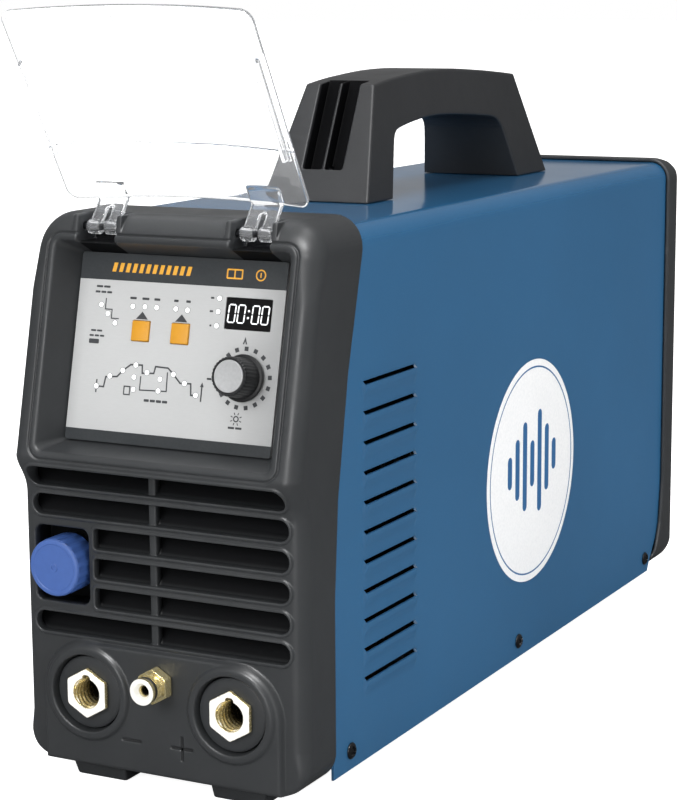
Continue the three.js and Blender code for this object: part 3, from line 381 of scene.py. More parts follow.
class Field:
    """A signed distance field on a grid in layout millimetres."""

    def __init__(self, lo, hi, step):
        self.step = step
        self.lo = np.asarray(lo, float)
        self.count = [int(math.ceil((b - a) / step)) + 1 for a, b in zip(lo, hi)]
        x, y, z = (
            (lo[i] + step * np.arange(self.count[i])).astype(np.float32) for i in range(3)
        )
        self.x, self.y, self.z = x[:, None, None], y[None, :, None], z[None, None, :]
        self.dist = None
        self.made = None

    def section(self, points):
        """Distance to an outline of (y, z) points that runs right through in x."""
        return poly_distance(self.y[0], self.z[0], points)[None].astype(np.float32)

    def part(self, lo, hi):
        """Slices of the sub-block that holds a box."""
        out = []
        for i in range(3):
            a = int(math.floor((lo[i] - self.lo[i]) / self.step)) - 2
            b = int(math.ceil((hi[i] - self.lo[i]) / self.step)) + 3
            out.append(slice(max(a, 0), min(b, self.count[i])))
        return tuple(out)

    def grid(self, part):
        return self.x[part[0]], self.y[:, part[1]], self.z[:, :, part[2]]

    def cut(self, lo, hi, solid, r):
        part = self.part(lo, hi)
        self.dist[part] = round_meet(self.dist[part], -solid(*self.grid(part)), r)

    def add(self, lo, hi, solid, r):
        part = self.part(lo, hi)
        self.dist[part] = round_join(self.dist[part], solid(*self.grid(part)), r)

    def sample(self, points):
        place = (points - self.lo) / self.step
        cell = np.clip(np.floor(place).astype(int), 0, np.array(self.count) - 2)
        share = (1 - (place - cell), place - cell)
        out = 0
        for a, b, c in CORNERS:
            weight = share[a][:, 0] * share[b][:, 1] * share[c][:, 2]
            out = out + weight * self.dist[cell[:, 0] + a, cell[:, 1] + b, cell[:, 2] + c]
        return out

    def gradient(self, points, reach=0.45):
        reach *= self.step
        steps = reach * np.eye(3)
        rise = [self.sample(points + s) - self.sample(points - s) for s in steps]
        return np.stack(rise, 1) / (2 * reach)

    def net(self):
        """Surface nets: one vertex in each cell the surface crosses, one quad per crossed edge."""
        inside = self.dist < 0
        cells = tuple(n - 1 for n in self.count)
        every = inside[:-1, :-1, :-1].copy()
        some = every.copy()
        for a, b, c in CORNERS:
            shifted = inside[a : a + cells[0], b : b + cells[1], c : c + cells[2]]
            every &= shifted
            some |= shifted
        active = np.argwhere(some & ~every)
        index = np.full(cells, -1, np.int32)
        index[tuple(active.T)] = np.arange(len(active))
        value = np.stack([self.dist[tuple((active + c).T)] for c in CORNERS], 1)
        total = np.zeros((len(active), 3))
        hits = np.zeros(len(active))
        for i in range(8):
            for j in range(i + 1, 8):
                if np.abs(CORNERS[i] - CORNERS[j]).sum() != 1:
                    continue
                cross = (value[:, i] < 0) != (value[:, j] < 0)
                t = np.where(
                    cross, value[:, i] / np.where(cross, value[:, i] - value[:, j], 1), 0
                )
                edge = CORNERS[i] + t[:, None] * (CORNERS[j] - CORNERS[i])
                total += cross[:, None] * edge
                hits += cross
        points = self.lo + (active + total / hits[:, None]) * self.step
        quads = []
        for axis in range(3):
            u, v = [i for i in range(3) if i != axis]
            a = inside.take(range(self.count[axis] - 1), axis)
            b = inside.take(range(1, self.count[axis]), axis)
            e = np.argwhere(a != b)
            e = e[(e[:, u] > 0) & (e[:, v] > 0)]
            e = e[(e[:, u] < self.count[u] - 1) & (e[:, v] < self.count[v] - 1)]
            du, dv = np.eye(3, dtype=int)[u], np.eye(3, dtype=int)[v]
            around = (e - du - dv, e - dv, e, e - du)
            quad = np.stack([index[tuple(cell.T)] for cell in around], 1)
            forward = a[tuple(e.T)]
            if axis == 1:
                forward = ~forward
            quad[~forward] = quad[~forward][:, ::-1]
            quads.append(quad)
        return points, np.concatenate(quads)

    def surface(self, keep):
        """The net thinned to a share of its triangles, drawn back onto the surface twice."""
        points, quads = self.net()
        tris = np.concatenate([quads[:, [0, 1, 2]], quads[:, [0, 2, 3]]])
        mesh = triangle_mesh("tmp", points, tris)
        ob = link_object("tmp", mesh)
        ob.modifiers.new("d", "DECIMATE").ratio = keep
        evaluated = ob.evaluated_get(bpy.context.evaluated_depsgraph_get())
        thin = evaluated.to_mesh()
        points = np.zeros(len(thin.vertices) * 3, np.float32)
        thin.vertices.foreach_get("co", points)
        points = points.reshape(-1, 3).astype(float)
        tris = np.zeros(len(thin.loops), np.int32)
        thin.loops.foreach_get("vertex_index", tris)
        tris = tris.reshape(-1, 3)
        evaluated.to_mesh_clear()
        bpy.data.objects.remove(ob)
        bpy.data.meshes.remove(mesh)
        for _ in range(2):
            slope = self.gradient(points)
            steepness = np.maximum((slope * slope).sum(1), 0.25)
            move = self.sample(points)[:, None] * slope / steepness[:, None]
            size = np.linalg.norm(move, axis=1)
            move *= np.minimum(1, 0.5 * self.step / np.maximum(size, 1e-9))[:, None]
            points = points - move
        normals = self.gradient(points, 0.6)
        normals /= np.maximum(np.linalg.norm(normals, axis=1), 1e-9)[:, None]
        return points, tris, normals

    def build(self, name, keep, place=None, mats=None, slot=None, **told):
        """place is (origin, axes) for a field laid out in its own frame."""
        if self.made is None:
            self.made = self.surface(keep)
        points, tris, normals = self.made
        if place is not None:
            origin, axes = place
            points, normals = origin + points @ axes, normals @ axes
            if np.linalg.det(axes) < 0:
                tris = tris[:, ::-1]
        mesh = triangle_mesh(name, to_metres(points), tris)
        shade_smooth(mesh)
        mesh.normals_split_custom_set_from_vertices(normals.astype(np.float32).tolist())
        declare(link_object(name, mesh, mats or [slot]), slot=slot, **told)


def small_part(name, solid, lo, hi, step, keep=0.4, **told):
    form = Field(lo, hi, step * (1.0))
    form.dist = (solid(form.x, form.y, form.z) + 0 * (form.x + form.y + form.z)).astype(np.float32)
    form.build(name, keep, **told)


# ------------------------------------------------------------------ shader wiring
MAT = {}


def srgb(hexcode):
    values = [int(hexcode[i : i + 2], 16) / 255 for i in (1, 3, 5)]
    return [x / 12.92 if x <= 0.04045 else ((x + 0.055) / 1.055) ** 2.4 for x in values]


def scaled(color, factor):
    return [min(1, x * factor) for x in color]


class Shader:
    """Short calls for wiring one node tree."""

    def __init__(self, tree):
        self.tree = tree
        self.bsdf = tree.nodes.get("Principled BSDF")

    def node(self, kind, inputs=None, **props):
        made = self.tree.nodes.new("ShaderNode" + kind)
        for key, value in props.items():
            setattr(made, key, value)
        for key, value in (inputs or {}).items():
            self.feed(made.inputs[key], value)
        return made

    def feed(self, socket, value):
        """Link a socket, or set it to a number or an opaque colour."""
        if isinstance(value, bpy.types.NodeSocket):
            self.tree.links.new(value, socket)
        elif isinstance(value, (int, float)):
            socket.default_value = value
        else:
            socket.default_value = (*value[:3], 1)

    def set(self, values):
        for key, value in values.items():
            self.feed(self.bsdf.inputs[key], value)

    def coords(self, stretch=(1, 1, 1)):
        place = self.node("TexCoord").outputs["Object"]
        mapping = self.node("Mapping", {"Vector": place})
        mapping.inputs["Scale"].default_value = stretch
        return mapping.outputs["Vector"]

    def xyz(self, vector):
        return self.node("SeparateXYZ", {0: vector}).outputs

    def noise(self, vector, scale, detail=2.0):
        inputs = {"Scale": scale, "Detail": detail, "Roughness": 0.5, "Vector": vector}
        return self.node("TexNoise", inputs).outputs["Fac"]

    def ramp(self, value, start, end, low=0, high=1):
        """Map start..end to low..high."""
        inputs = {"From Min": start, "From Max": end, "To Min": low, "To Max": high}
        return self.node("MapRange", inputs | {"Value": value}).outputs["Result"]

    def swing(self, noise, low=0, high=1):
        """Spread the usual range of a noise over low..high."""
        return self.ramp(noise, 0.3, 0.7, low, high)

    def mix(self, factor, a, b, data_type="RGBA"):
        inputs = {"Factor": factor, "A": a, "B": b}
        return self.node("Mix", inputs, data_type=data_type).outputs["Result"]

    def mix_shader(self, factor, a, b):
        inputs = {0: factor, 1: a, 2: b} if factor is not None else {1: a, 2: b}
        return self.node("MixShader", inputs).outputs[0]

    def math(self, operation, *values):
        return self.node("Math", dict(enumerate(values)), operation=operation).outputs[0]

    def times(self, a, b):
        return self.math("MULTIPLY", a, b)

    def bump(self, height, strength, distance, under=None):
        inputs = {"Strength": strength, "Distance": distance, "Height": height}
        if under is not None:
            inputs["Normal"] = under
        return self.node("Bump", inputs).outputs["Normal"]


def new_material(name):
    mat = bpy.data.materials.new(name)
    mat.use_nodes = True
    MAT[name] = mat
    return Shader(mat.node_tree)


# ------------------------------------------------------------------ painted shade in deep recesses
# Each mask is 1 inside its recess, where shade is painted; x, y and z are scene metres.
def grille_shade_mask(mat, x, y, z):
    inset = mat.ramp(y, scene_y(0.9), scene_y(4.4), 0, 0.84)
    off_bar = mat.ramp(mat.math("ABSOLUTE", mat.math("ADD", x, 0.004)), 0.0020, 0.0023)
    deeper = mat.ramp(y, scene_y(2.0), scene_y(5.0), 0, 0.84)
    depth = mat.math("MAXIMUM", mat.times(inset, off_bar), deeper)
    across = mat.ramp(mat.math("ABSOLUTE", x), 0.0732, 0.0736, 1, 0)
    above = mat.ramp(z, 0.0662, 0.0668)
    below = mat.ramp(z, 0.1582, 0.1576)
    ahead = mat.ramp(y, scene_y(28), scene_y(29), 1, 0)
    return mat.times(mat.times(depth, across), mat.times(mat.times(above, below), ahead))


def off_centre(mat, x, centre):
    """Distance in x from a pair of places at plus and minus centre."""
    return mat.math("ABSOLUTE", mat.math("SUBTRACT", mat.math("ABSOLUTE", x), centre * MM))


def hinge_shade_mask(mat, x, y, z):
    across = mat.ramp(off_centre(mat, x, HINGE_X), 0.0106, 0.0100)
    down = mat.ramp(z, 0.2680, 0.2620, 0, 0.9)
    behind = mat.ramp(y, scene_y(14), scene_y(19))
    return mat.times(mat.times(across, down), behind)


def handle_slot_shade_mask(mat, x, y, z):
    slope_y, slope_z = 0.4431, 0.8965  # direction up the handle's front face
    across = mat.ramp(mat.math("ABSOLUTE", x), 0.0117, 0.0114)

    def offset(operation, by_y, by_z):
        from_y = mat.times(mat.math("SUBTRACT", y, scene_y(156.2)), by_y)
        from_z = mat.times(mat.math("SUBTRACT", z, 0.266), by_z)
        return mat.math(operation, from_y, from_z)

    up = offset("ADD", slope_y, slope_z)
    depth = offset("SUBTRACT", slope_z, slope_y)
    inset = mat.ramp(depth, 0.0006, 0.0022, 0, 0.95)
    above = mat.ramp(up, 0.0188, 0.0192)
    ahead = mat.ramp(depth, 0.0095, 0.0100, 1, 0)
    return mat.times(mat.times(across, inset), mat.times(above, ahead))


def deep_shade(mat, tone, shade_masks):
    """Paint shade into recesses: take colour and shine away inside them."""
    x, y, z = mat.xyz(mat.node("TexCoord").outputs["Object"])
    total = None
    for mask in shade_masks:
        value = mask(mat, x, y, z)
        total = value if total is None else mat.math("MAXIMUM", total, value)
    mat.set({"Specular IOR Level": mat.ramp(total, 0, 0.9, low=0.5, high=0.03)})
    return mat.mix(total, tone, (0.0035, 0.0035, 0.004))


# ------------------------------------------------------------------ materials
def moulded(name, base, edge, rough, spread=0.12, spec=0.5, wear=0.35, shade_masks=None):
    """Injection-moulded plastic: cloudy tone, leather-like grain, paler rubbed edges, and painted
    shade inside recesses when shade masks are given.
    """
    mat = new_material(name)
    color = srgb(base)
    vector = mat.coords()
    cloud = mat.noise(vector, scale=9.0, detail=4.0)
    fine = mat.noise(vector, scale=320.0, detail=3.0)
    tone = mat.mix(mat.swing(cloud), scaled(color, 1 - spread), scaled(color, 1 + spread))
    tone = mat.mix(mat.ramp(fine, 0.35, 0.75, high=0.25), tone, scaled(color, 1.25))
    pointed = mat.node("NewGeometry").outputs["Pointiness"]
    edge_mask = mat.ramp(pointed, 0.52, 0.60, high=wear)
    scuff = mat.ramp(mat.noise(vector, scale=60.0, detail=5.0), 0.4, 0.65, low=0.2)
    tone = mat.mix(mat.times(edge_mask, scuff), tone, srgb(edge))
    # painted shade: colour and shine taken away inside the recesses the masks mark
    if shade_masks:
        tone = deep_shade(mat, tone, shade_masks)
    grain = mat.node("TexVoronoi", {"Scale": 2600.0, "Vector": vector}, feature="SMOOTH_F1")
    leather = mat.bump(grain.outputs["Distance"], strength=0.35, distance=0.00004)
    ripple = mat.noise(vector, scale=420.0, detail=3.0)
    handling = mat.noise(vector, scale=38.0, detail=3.0)
    mat.set({
        "Base Color": tone,
        "Roughness": mat.swing(handling, rough - 0.06, rough + 0.07),
        "Specular IOR Level": spec,
        "Normal": mat.bump(ripple, strength=0.2, distance=0.00008, under=leather),
    })


def metal(name, base, rough, brush, scale, strength=0.15, tint=0.18, depth=0.00003):
    """Bare metal with brushed streaks; brush is the stretch of the streaks in x, y, z."""
    mat = new_material(name)
    color = srgb(base)
    streak = mat.noise(mat.coords(brush), scale, detail=3.0)
    cloud = mat.noise(mat.coords(), scale=60.0, detail=4.0)
    tone = mat.mix(mat.swing(streak), scaled(color, 1 - tint), scaled(color, 1 + tint))
    tone = mat.mix(mat.ramp(cloud, 0.4, 0.75, high=0.3), tone, scaled(color, 0.7))
    mat.set({
        "Base Color": tone,
        "Metallic": 1.0,
        "Roughness": mat.swing(streak, rough - 0.1, rough + 0.1),
        "Normal": mat.bump(streak, strength, depth),
    })


def paint(name, base, rough, metallic, coat, peel, depth, side_rough=None):
    """Powder coat: faint orange peel, dust and handling haze in the gloss."""
    mat = new_material(name)
    color = srgb(base)
    vector = mat.coords()
    cloud = mat.noise(vector, scale=5.0, detail=4.0)
    tone = mat.mix(mat.swing(cloud), scaled(color, 0.93), scaled(color, 1.07))
    speck = mat.noise(vector, scale=900.0)
    tone = mat.mix(mat.ramp(speck, 0.62, 0.8, high=0.3), tone, scaled(color, 1.5))
    haze = mat.noise(vector, scale=14.0, detail=3.0)
    sheen = mat.ramp(haze, 0.3, 0.75, rough - 0.02, rough + 0.05)
    if side_rough is not None:
        # the top is handled and wiped, so it shines more than the sides
        height = mat.xyz(vector)["Z"]
        sheen = mat.math("ADD", sheen, mat.ramp(height, 0.263, 0.256, 0, side_rough - rough))
    coarse = mat.bump(mat.noise(vector, peel, detail=1.0), strength=0.12, distance=depth)
    ripple = mat.noise(vector, peel * 5, detail=1.0)
    mat.set({
        "Base Color": tone,
        "Roughness": sheen,
        "Metallic": metallic,
        "Specular IOR Level": 0.5,
        "Coat Weight": coat,
        "Coat Roughness": 0.12,
        "Normal": mat.bump(ripple, strength=0.05, distance=depth * 0.3, under=coarse),
    })


def clear(name):
    """Transparent plastic with dust, fine scratches and painted grey shade along its grazing edges.
    """
    mat = new_material(name)
    vector = mat.coords()
    smear = mat.noise(vector, scale=45.0, detail=5.0)
    scratch = mat.ramp(mat.noise(mat.coords((1, 14, 3)), scale=220.0), 0.6, 0.8)
    mat.set({
        "Base Color": (0.985, 0.99, 0.995),
        "Transmission Weight": 1.0,
        "IOR": 1.36,
        "Roughness": mat.ramp(smear, 0.4, 0.8, low=0.015, high=0.06),
        "Normal": mat.bump(scratch, strength=0.03, distance=0.00002),
    })
    dust = mat.ramp(mat.noise(vector, scale=30.0, detail=5.0), 0.35, 0.8, low=0.05, high=0.10)
    facing = mat.node("LayerWeight", {"Blend": 0.5}).outputs["Facing"]
    # painted shade: the haze turns grey where the sheet is seen edge on
    rim = mat.ramp(facing, 0.62, 0.95, high=0.5)
    shade = mat.mix(mat.ramp(facing, 0.55, 0.8), (0.93, 0.94, 0.96), (0.42, 0.44, 0.47))
    translucent = mat.node("BsdfTranslucent", {"Color": shade}).outputs[0]
    diffuse = mat.node("BsdfDiffuse", {"Color": shade}).outputs[0]
    dust_and_edge_shade = mat.mix_shader(None, translucent, diffuse)
    plastic = mat.mix_shader(mat.math("MAXIMUM", dust, rim), mat.bsdf.outputs[0], dust_and_edge_shade)
    # Light passes straight through to what is behind, so the cover casts only a faint shadow.
    shadow_ray = mat.node("LightPath").outputs["Is Shadow Ray"]
    see_through = mat.node("BsdfTransparent", {"Color": (0.93, 0.94, 0.95)}).outputs[0]
    surface = mat.tree.nodes["Material Output"].inputs["Surface"]
    mat.feed(surface, mat.mix_shader(shadow_ray, plastic, see_through))


def glow(name, base, strength):
    mat = new_material(name)
    color = srgb(base)
    grain = mat.noise(mat.coords(), scale=900.0)
    tone = mat.mix(mat.swing(grain), scaled(color, 0.93), color)
    mat.set({
        "Base Color": tone,
        "Emission Color": tone,
        "Emission Strength": strength,
        "Roughness": 0.3,
    })


def ink(name, base, rough=0.45):
    mat = new_material(name)
    color = srgb(base)
    vector = mat.coords()
    fine = mat.noise(vector, scale=700.0, detail=3.0)
    paler = [min(1, x * 1.12 + 0.004) for x in color]
    patches = mat.noise(vector, scale=80.0, detail=3.0)
    mat.set({
        "Base Color": mat.mix(mat.ramp(fine, 0.3, 0.75), color, paler),
        "Roughness": mat.swing(patches, rough - 0.05, rough + 0.08),
        "Normal": mat.bump(mat.noise(vector, 1500.0, 1.0), strength=0.08, distance=0.00002),
    })


def film(name):
    """Silvery panel film with a painted reflection of the dark tub walls towards its left and right
    edges.
    """
    # A bare material holds the plain name, so the film's own takes the next numbered one.
    bpy.data.materials.new(name)
    mat = new_material(name)
    vector = mat.coords()
    grain = mat.noise(mat.coords((1, 8, 8)), scale=300.0)
    color = srgb("#c0c1c1")
    tone = mat.mix(mat.swing(grain), scaled(color, 0.985), scaled(color, 1.015))
    # painted reflection of the dark tub walls: the film darkens towards its left and right edges
    x = mat.xyz(vector)["X"]
    right = mat.ramp(x, 0.036, 0.056, high=0.36)
    left = mat.ramp(x, -0.050, -0.056, high=0.2)
    patches = mat.noise(vector, scale=90.0, detail=3.0)
    mat.set({
        "Base Color": mat.mix(mat.math("MAXIMUM", right, left), tone, srgb("#6d6e70")),
        "Roughness": mat.swing(patches, 0.42, 0.52),
        "Specular IOR Level": 0.3,
    })


def brass_with_painted_light(name, facing, front_y, scale, gold, pale, hole, metallic, rough, strength):
    """Gold brass with a painted highlight that turns its front faces near white and painted shade
    that darkens its bore.

    facing and front_y are the ranges of the normal's y and of y over which the painted
    highlight sets in; hole(mat, x, y, z) is the mask of the painted shade in the bore.
    """
    mat = new_material(name)
    vector = mat.coords()
    normal_y = mat.xyz(mat.node("NewGeometry").outputs["True Normal"])["Y"]
    face = mat.ramp(normal_y, *facing)
    x, y, z = mat.xyz(vector)
    front = mat.times(face, mat.ramp(y, scene_y(front_y[0]), scene_y(front_y[1])))
    grain = mat.noise(vector, scale, detail=3.0)
    gold_tone = mat.mix(mat.swing(grain), *map(srgb, gold))
    highlight_tone = mat.mix(mat.swing(grain), *map(srgb, pale)) if len(pale) == 2 else srgb(pale[0])
    # painted highlight: faces turned to the front get the near-white tone
    tone = mat.mix(front, gold_tone, highlight_tone)
    mat.set({
        # painted shade: the bore turns near black
        "Base Color": mat.mix(hole(mat, x, y, z), tone, (0.006, 0.0035, 0.001)),
        "Metallic": mat.ramp(front, 0, 1, *metallic),
        "Roughness": mat.swing(grain, *rough),
        "Normal": mat.bump(grain, strength, distance=0.00001),
    })


# painted shade deep in the socket's bore
def socket_bore_shade(mat, x, y, z):
    deep = mat.ramp(y, scene_y(1.0), scene_y(9.0), high=0.96)
    return mat.times(deep, mat.ramp(off_centre(mat, x, SOCKET_X), 0.0088, 0.0086))


# painted shade in the outlet's bore
def outlet_bore_shade(mat, x, y, z):
    height = mat.math("SUBTRACT", z, OUTLET_Z * MM)
    across = mat.node("CombineXYZ", {0: x, 2: height}).outputs[0]
    length = mat.node("VectorMath", {0: across}, operation="LENGTH").outputs["Value"]
    return mat.ramp(length, 0.0023, 0.0020, high=0.95)


# moulded_grey and handle_grey get painted shade in the grille, cap recess, hinge pockets and handle
# slots
moulded("moulded_grey", "#333537", "#606265", rough=0.39, spec=0.4, shade_masks=[grille_shade_mask, hinge_shade_mask])
moulded("rear_grey", "#343638", "#606265", rough=0.44, spec=0.4)
moulded("collar_grey", "#323436", "#505255", rough=0.46, spec=0.35)
moulded("handle_grey", "#2e2f31", "#6a6b6d", rough=0.48, spec=0.22, shade_masks=[handle_slot_shade_mask])
moulded("black_plastic", "#1d1e20", "#4a4b4d", rough=0.42, wear=0.2)
moulded("cap_blue", "#3f60a4", "#6a86c6", rough=0.42, wear=0.25)
moulded("key_orange", "#d69512", "#ffd07a", rough=0.45, wear=0.2, spread=0.04)
moulded("ferrite", "#2b2b2d", "#4b4b4d", rough=0.7)
moulded("white_plastic", "#dad8d0", "#f2f1ec", rough=0.5, wear=0.1)
moulded("black_rubber", "#17181a", "#333436", rough=0.6, wear=0.1)
paint(
    "case_blue", "#2b6089", rough=0.14, metallic=0.0, coat=0.0, peel=260.0, depth=0.00005,
    side_rough=0.42,
)
paint("black_steel", "#26272a", rough=0.3, metallic=0.6, coat=0.2, peel=900.0, depth=0.00002)
metal("zinc_steel", "#b9bcc0", rough=0.32, brush=(1, 6, 1), scale=300.0)
metal("brass", "#d9b257", rough=0.2, brush=(1, 1, 1), scale=700.0, strength=0.1, tint=0.12)
metal(
    "copper", "#b8692f", rough=0.3, brush=(1, 1, 8), scale=500.0, strength=0.5, tint=0.3,
    depth=0.0002,
)
metal("aluminium", "#c9ccce", rough=0.3, brush=(1, 10, 1), scale=400.0)
clear("clear_plastic")
film("panel_film")
ink("board_green", "#1d5238", rough=0.35)
ink("ink_dark", "#3b3d40")
ink("ink_mid", "#6f7275")
ink("ink_band", "#2d3134")
ink("ink_gold", "#e6a72c")
ink("screen_black", "#0b0b0c", rough=0.12)
ink("silver_disc", "#a3a4a5", rough=0.3)
ink("badge_white", "#f4f5f6", rough=0.35)
ink("badge_line", "#2a6497", rough=0.35)
glow("led_white", "#ffffff", strength=0.55)
glow("segment_white", "#f4f6f8", strength=0.7)
# front faces painted near white as a highlight, bores painted dark as shade
brass_with_painted_light(
    "brass_socket", facing=(-0.55, -0.9), front_y=(-2.0, -3.0), scale=700.0,
    gold=("#e6cf8a", "#fbf0c4"), pale=("#fbf8f0", "#fffefb"), hole=socket_bore_shade,
    metallic=(0.7, 0.0), rough=(0.2, 0.3), strength=0.03,
)
brass_with_painted_light(
    "brass_outlet", facing=(-0.25, -0.5), front_y=(-15.0, -15.6), scale=900.0,
    gold=("#e3cd86", "#fbf1c8"), pale=("#fbfaf4",), hole=outlet_bore_shade,
    metallic=(0.78, 0.1), rough=(0.16, 0.26), strength=0.04,
)

record_slots = {s["node"]: s["material_slot"] for s in frame["record"]["subparts"]}
for name, ob in nodes.items():
    ob.data.materials.clear()
    ob.data.materials.append(MAT[record_slots[name]])


# ------------------------------------------------------------------ front bezel
# (x0, x1, z0, z1) of the minus bar and the two bars of the plus sign
POLARITY_RECESSES = (
    (-20.9, -10.1, 23.7, 25.0), (6.3, 18.5, 23.7, 25.0), (11.8, 13.1, 18.3, 30.4),
)
POLARITY_INLAYS = (
    (-20.9, -10.1, 23.75, 24.95), (6.3, 18.5, 23.75, 24.95), (11.85, 13.05, 18.3, 30.4),
)
# (y, z) up the curve from the grille face to the rim below the panel
NOSE = [
    (0, 136), (-0.1, 140), (-1.2, 144), (-3.5, 148.2), (-6, 152), (-7.6, 155.5),
    (-7.95, 158.2), (RIM_Y, RIM_Z),
]
# (y, z) of the bezel's back edge, closed far out in front
BEZEL_BACK = [
    (-200, -80), (30, -80), (30, 95), (33.7, 142.8), (44.5, 200), (59.3, 253.4), (63.5, 268),
    (64, 272), (64, 400), (-200, 400),
]
# (y, z) of the seat for the steel cover
COVER_SEAT = [
    (23.4, 23.6), (23.4, 95), (27.1, 142.8), (37.9, 200), (52.7, 253.4), (56.9, 268),
    (90, 268), (90, 23.6),
]
PANEL_HALF, PANEL_TALL = 63.8, 100.6  # opening of the tub at the face
GRILLE_ROWS, GRILLE_TOP_Z, GRILLE_PITCH = 6, 148.75, 14.41
SLOT_HALF, SLOT_X0, SHORT_SLOT_X0, SLOT_X1 = 4.95, -69.5, -35.6, 69.4


def build_polarity_marks():
    shape = bmesh.new()
    for x0, x1, z0, z1 in POLARITY_INLAYS:
        bar = rounded_rect(x0 + 0.1, x1 - 0.1, z0, z1, 0.2, 2)
        add_prism(shape, front_frame(0, 0, 0), bar, 2.0, 2.65)
    finish_shape("polarity_marks", shape, ["black_plastic"])


def add_feet(form, box_y, foot_y, top):
    """A pair of tapering feet under a bezel."""
    for side in SIDES:

        def foot(x, y, z):
            down = top - z
            sides = slab(side * x, 23.4 + down * 0.08, 54 - down * 0.2) * 0.97
            ends = meet(foot_y[0] + down * 0.25 - y, y - foot_y[1] + down * 0.3)
            return meet(round_meet(round_meet(sides, ends, 1.5), -z, 0.9), z - top - 1.5)

        x0, x1 = sorted((side * 23, side * 56))
        form.add((x0, box_y[0], -1.4), (x1, box_y[1], 12), foot, 0.8)


def panel_coords(y, z):
    """Distance up the panel and out of it."""
    up = (y - RIM_Y) * SIN_LEAN + (z - RIM_Z) * COS_LEAN
    out = -(y - RIM_Y) * COS_LEAN + (z - RIM_Z) * SIN_LEAN
    return up, out


def panel_tub(x, y, z, grow=0.0):
    """The tapering tub behind the panel opening, and the distance out of the panel."""
    up, out = panel_coords(y, z)
    taper = np.clip(-out, -2, 30) / 14.9
    sides = (np.abs(x) - (PANEL_HALF - 7.7 * taper)) * 0.888 - grow
    low = (7.1 * taper - up) * 0.903 - grow
    high = (up - (PANEL_TALL - 3.7 * taper)) * 0.97 - grow
    return round_meet(meet(low, high), sides, np.clip(3.6 - 2.2 * taper, 1.2, 3.6) + grow), out


def cut_panel(form, front, outline, edge):
    """The walled tub, its window and the groove round the opening."""
    lo, hi = (-68, -12, 155), (68, 45, 268)
    part = form.part(lo, hi)
    within = round_meet(crop(front, part) + 0.2, crop(outline, part) + 0.2, 7.0)

    def tub_wall(x, y, z):
        tub, out = panel_tub(x, y, z, 2.6)
        return meet(tub, -(out + 17.6), out + 0.3, within)

    form.add(lo, hi, tub_wall, 0.8)
    for side in SIDES:  # walls of the hinge pockets
        centre = side * HINGE_X
        lo, hi = (centre - 14.5, 13, 254), (centre + 14.5, 36.5, 272)
        part = form.part(lo, hi)
        limit = meet(crop(front, part), crop(outline, part)) + 0.4
        form.add(lo, hi, lambda x, y, z: meet(
            np.abs(x - centre) - 13.5, np.abs(y - 24.5) - 11, 255.3 - z, limit), 0.5)

    def tub_room(x, y, z):
        tub, out = panel_tub(x, y, z)
        return meet(tub, -(out + 14.9))

    def window(x, y, z):
        up, out = panel_coords(y, z)
        return meet(rect_distance(x, up, -50, 50, 12, 92.5, 2.0), np.abs(out + 17) - 6)

    form.cut((-66, -12, 158), (66, 30, 266), tub_room, 1.5)
    form.cut((-52, 0, 160), (52, 45, 262), window, 0.3)

    lo, hi = (-70, -12, 154), (70, 34, 272)
    part = form.part(lo, hi)
    skin = round_meet(crop(front, part), crop(outline, part), crop(edge, part))

    def groove(x, y, z):
        up = panel_coords(y, z)[0]
        opening = rect_distance(x, up, -PANEL_HALF, PANEL_HALF, 0, PANEL_TALL, 3.6)
        return meet(np.abs(opening - 3.5) - 0.5, -(skin + 0.8))

    form.cut(lo, hi, groove, 0.35)


def cut_grille(form, front):
    """Rows of slots with raised lips, a recessed upright bar and slanting blades behind."""
    rows = []
    for i in range(GRILLE_ROWS):
        centre = GRILLE_TOP_Z - GRILLE_PITCH * i
        rows.append((2 <= i <= 4, centre - SLOT_HALF, centre + SLOT_HALF))
    part = form.part((-75, -11, 66), (75, 17, 159))
    x, y, z = form.grid(part)
    slots = None
    for short, z0, z1 in rows:
        x0 = SHORT_SLOT_X0 if short else SLOT_X0
        slot = rect_distance(x, z, x0, SLOT_X1, z0, z1, 4.8)
        if short:  # the end beside the cap recess is nearly square
            slot = np.where(x < 0, rect_distance(x, z, x0, SLOT_X1, z0, z1, 1.6), slot)
        slot = slot.astype(np.float32)
        slots = slot if slots is None else join(slots, slot)
    lips = round_meet(round_meet(crop(front, part) - 0.9, slots - 1.55, 0.55), y - 4.0, 0.2)
    wall = round_join(form.dist[part], lips, 0.25)
    wall = round_meet(wall, -meet(slots, y - 5.5), 0.45)
    bar = round_meet(rect_distance(x, y, -6, -2, 1.2, 5.6, 0.6), np.abs(z - 112.5) - 43, 0.1)
    wall = round_join(wall, bar, 0.3)
    for short, z0, z1 in rows:
        # a blade from behind the lower lip up and back to behind the slat above
        low_y, low_z, high_y, high_z = 3.4, z0 - 1.2, 13.5, z1 + 1.6
        length = math.hypot(high_y - low_y, high_z - low_z)
        dir_y, dir_z = (high_y - low_y) / length, (high_z - low_z) / length
        along = (y - low_y) * dir_y + (z - low_z) * dir_z
        off = -(y - low_y) * dir_z + (z - low_z) * dir_y
        blade = meet(-along, along - length, np.abs(off) - 0.9)
        across = slab(x, -37.2 if short else -72.5, 72.5)
        wall = round_join(wall, meet(blade, across), 0.3)
    form.dist[part] = wall


def cut_cap_recess(form):
    form.add((-73, -2, 82), (-35, 18, 128), lambda x, y, z: meet(
        rect_distance(x, z, -71.4, -37.2, 84.7, 125.9, 5.5), np.abs(y - 8) - 7.6), 0.4)
    form.cut((-73, -6, 82), (-35, 16, 128), lambda x, y, z: meet(
        rect_distance(x, z, -69.3, -39.3, 86.8, 123.8, 4.0), y - 13), 0.9)
    form.cut((-66, 9, 93), (-42, 18, 118), lambda x, y, z: meet(
        np.hypot(x - CAP_X, z - CAP_Z) - 10.6, np.abs(y - 14) - 5), 0.2)


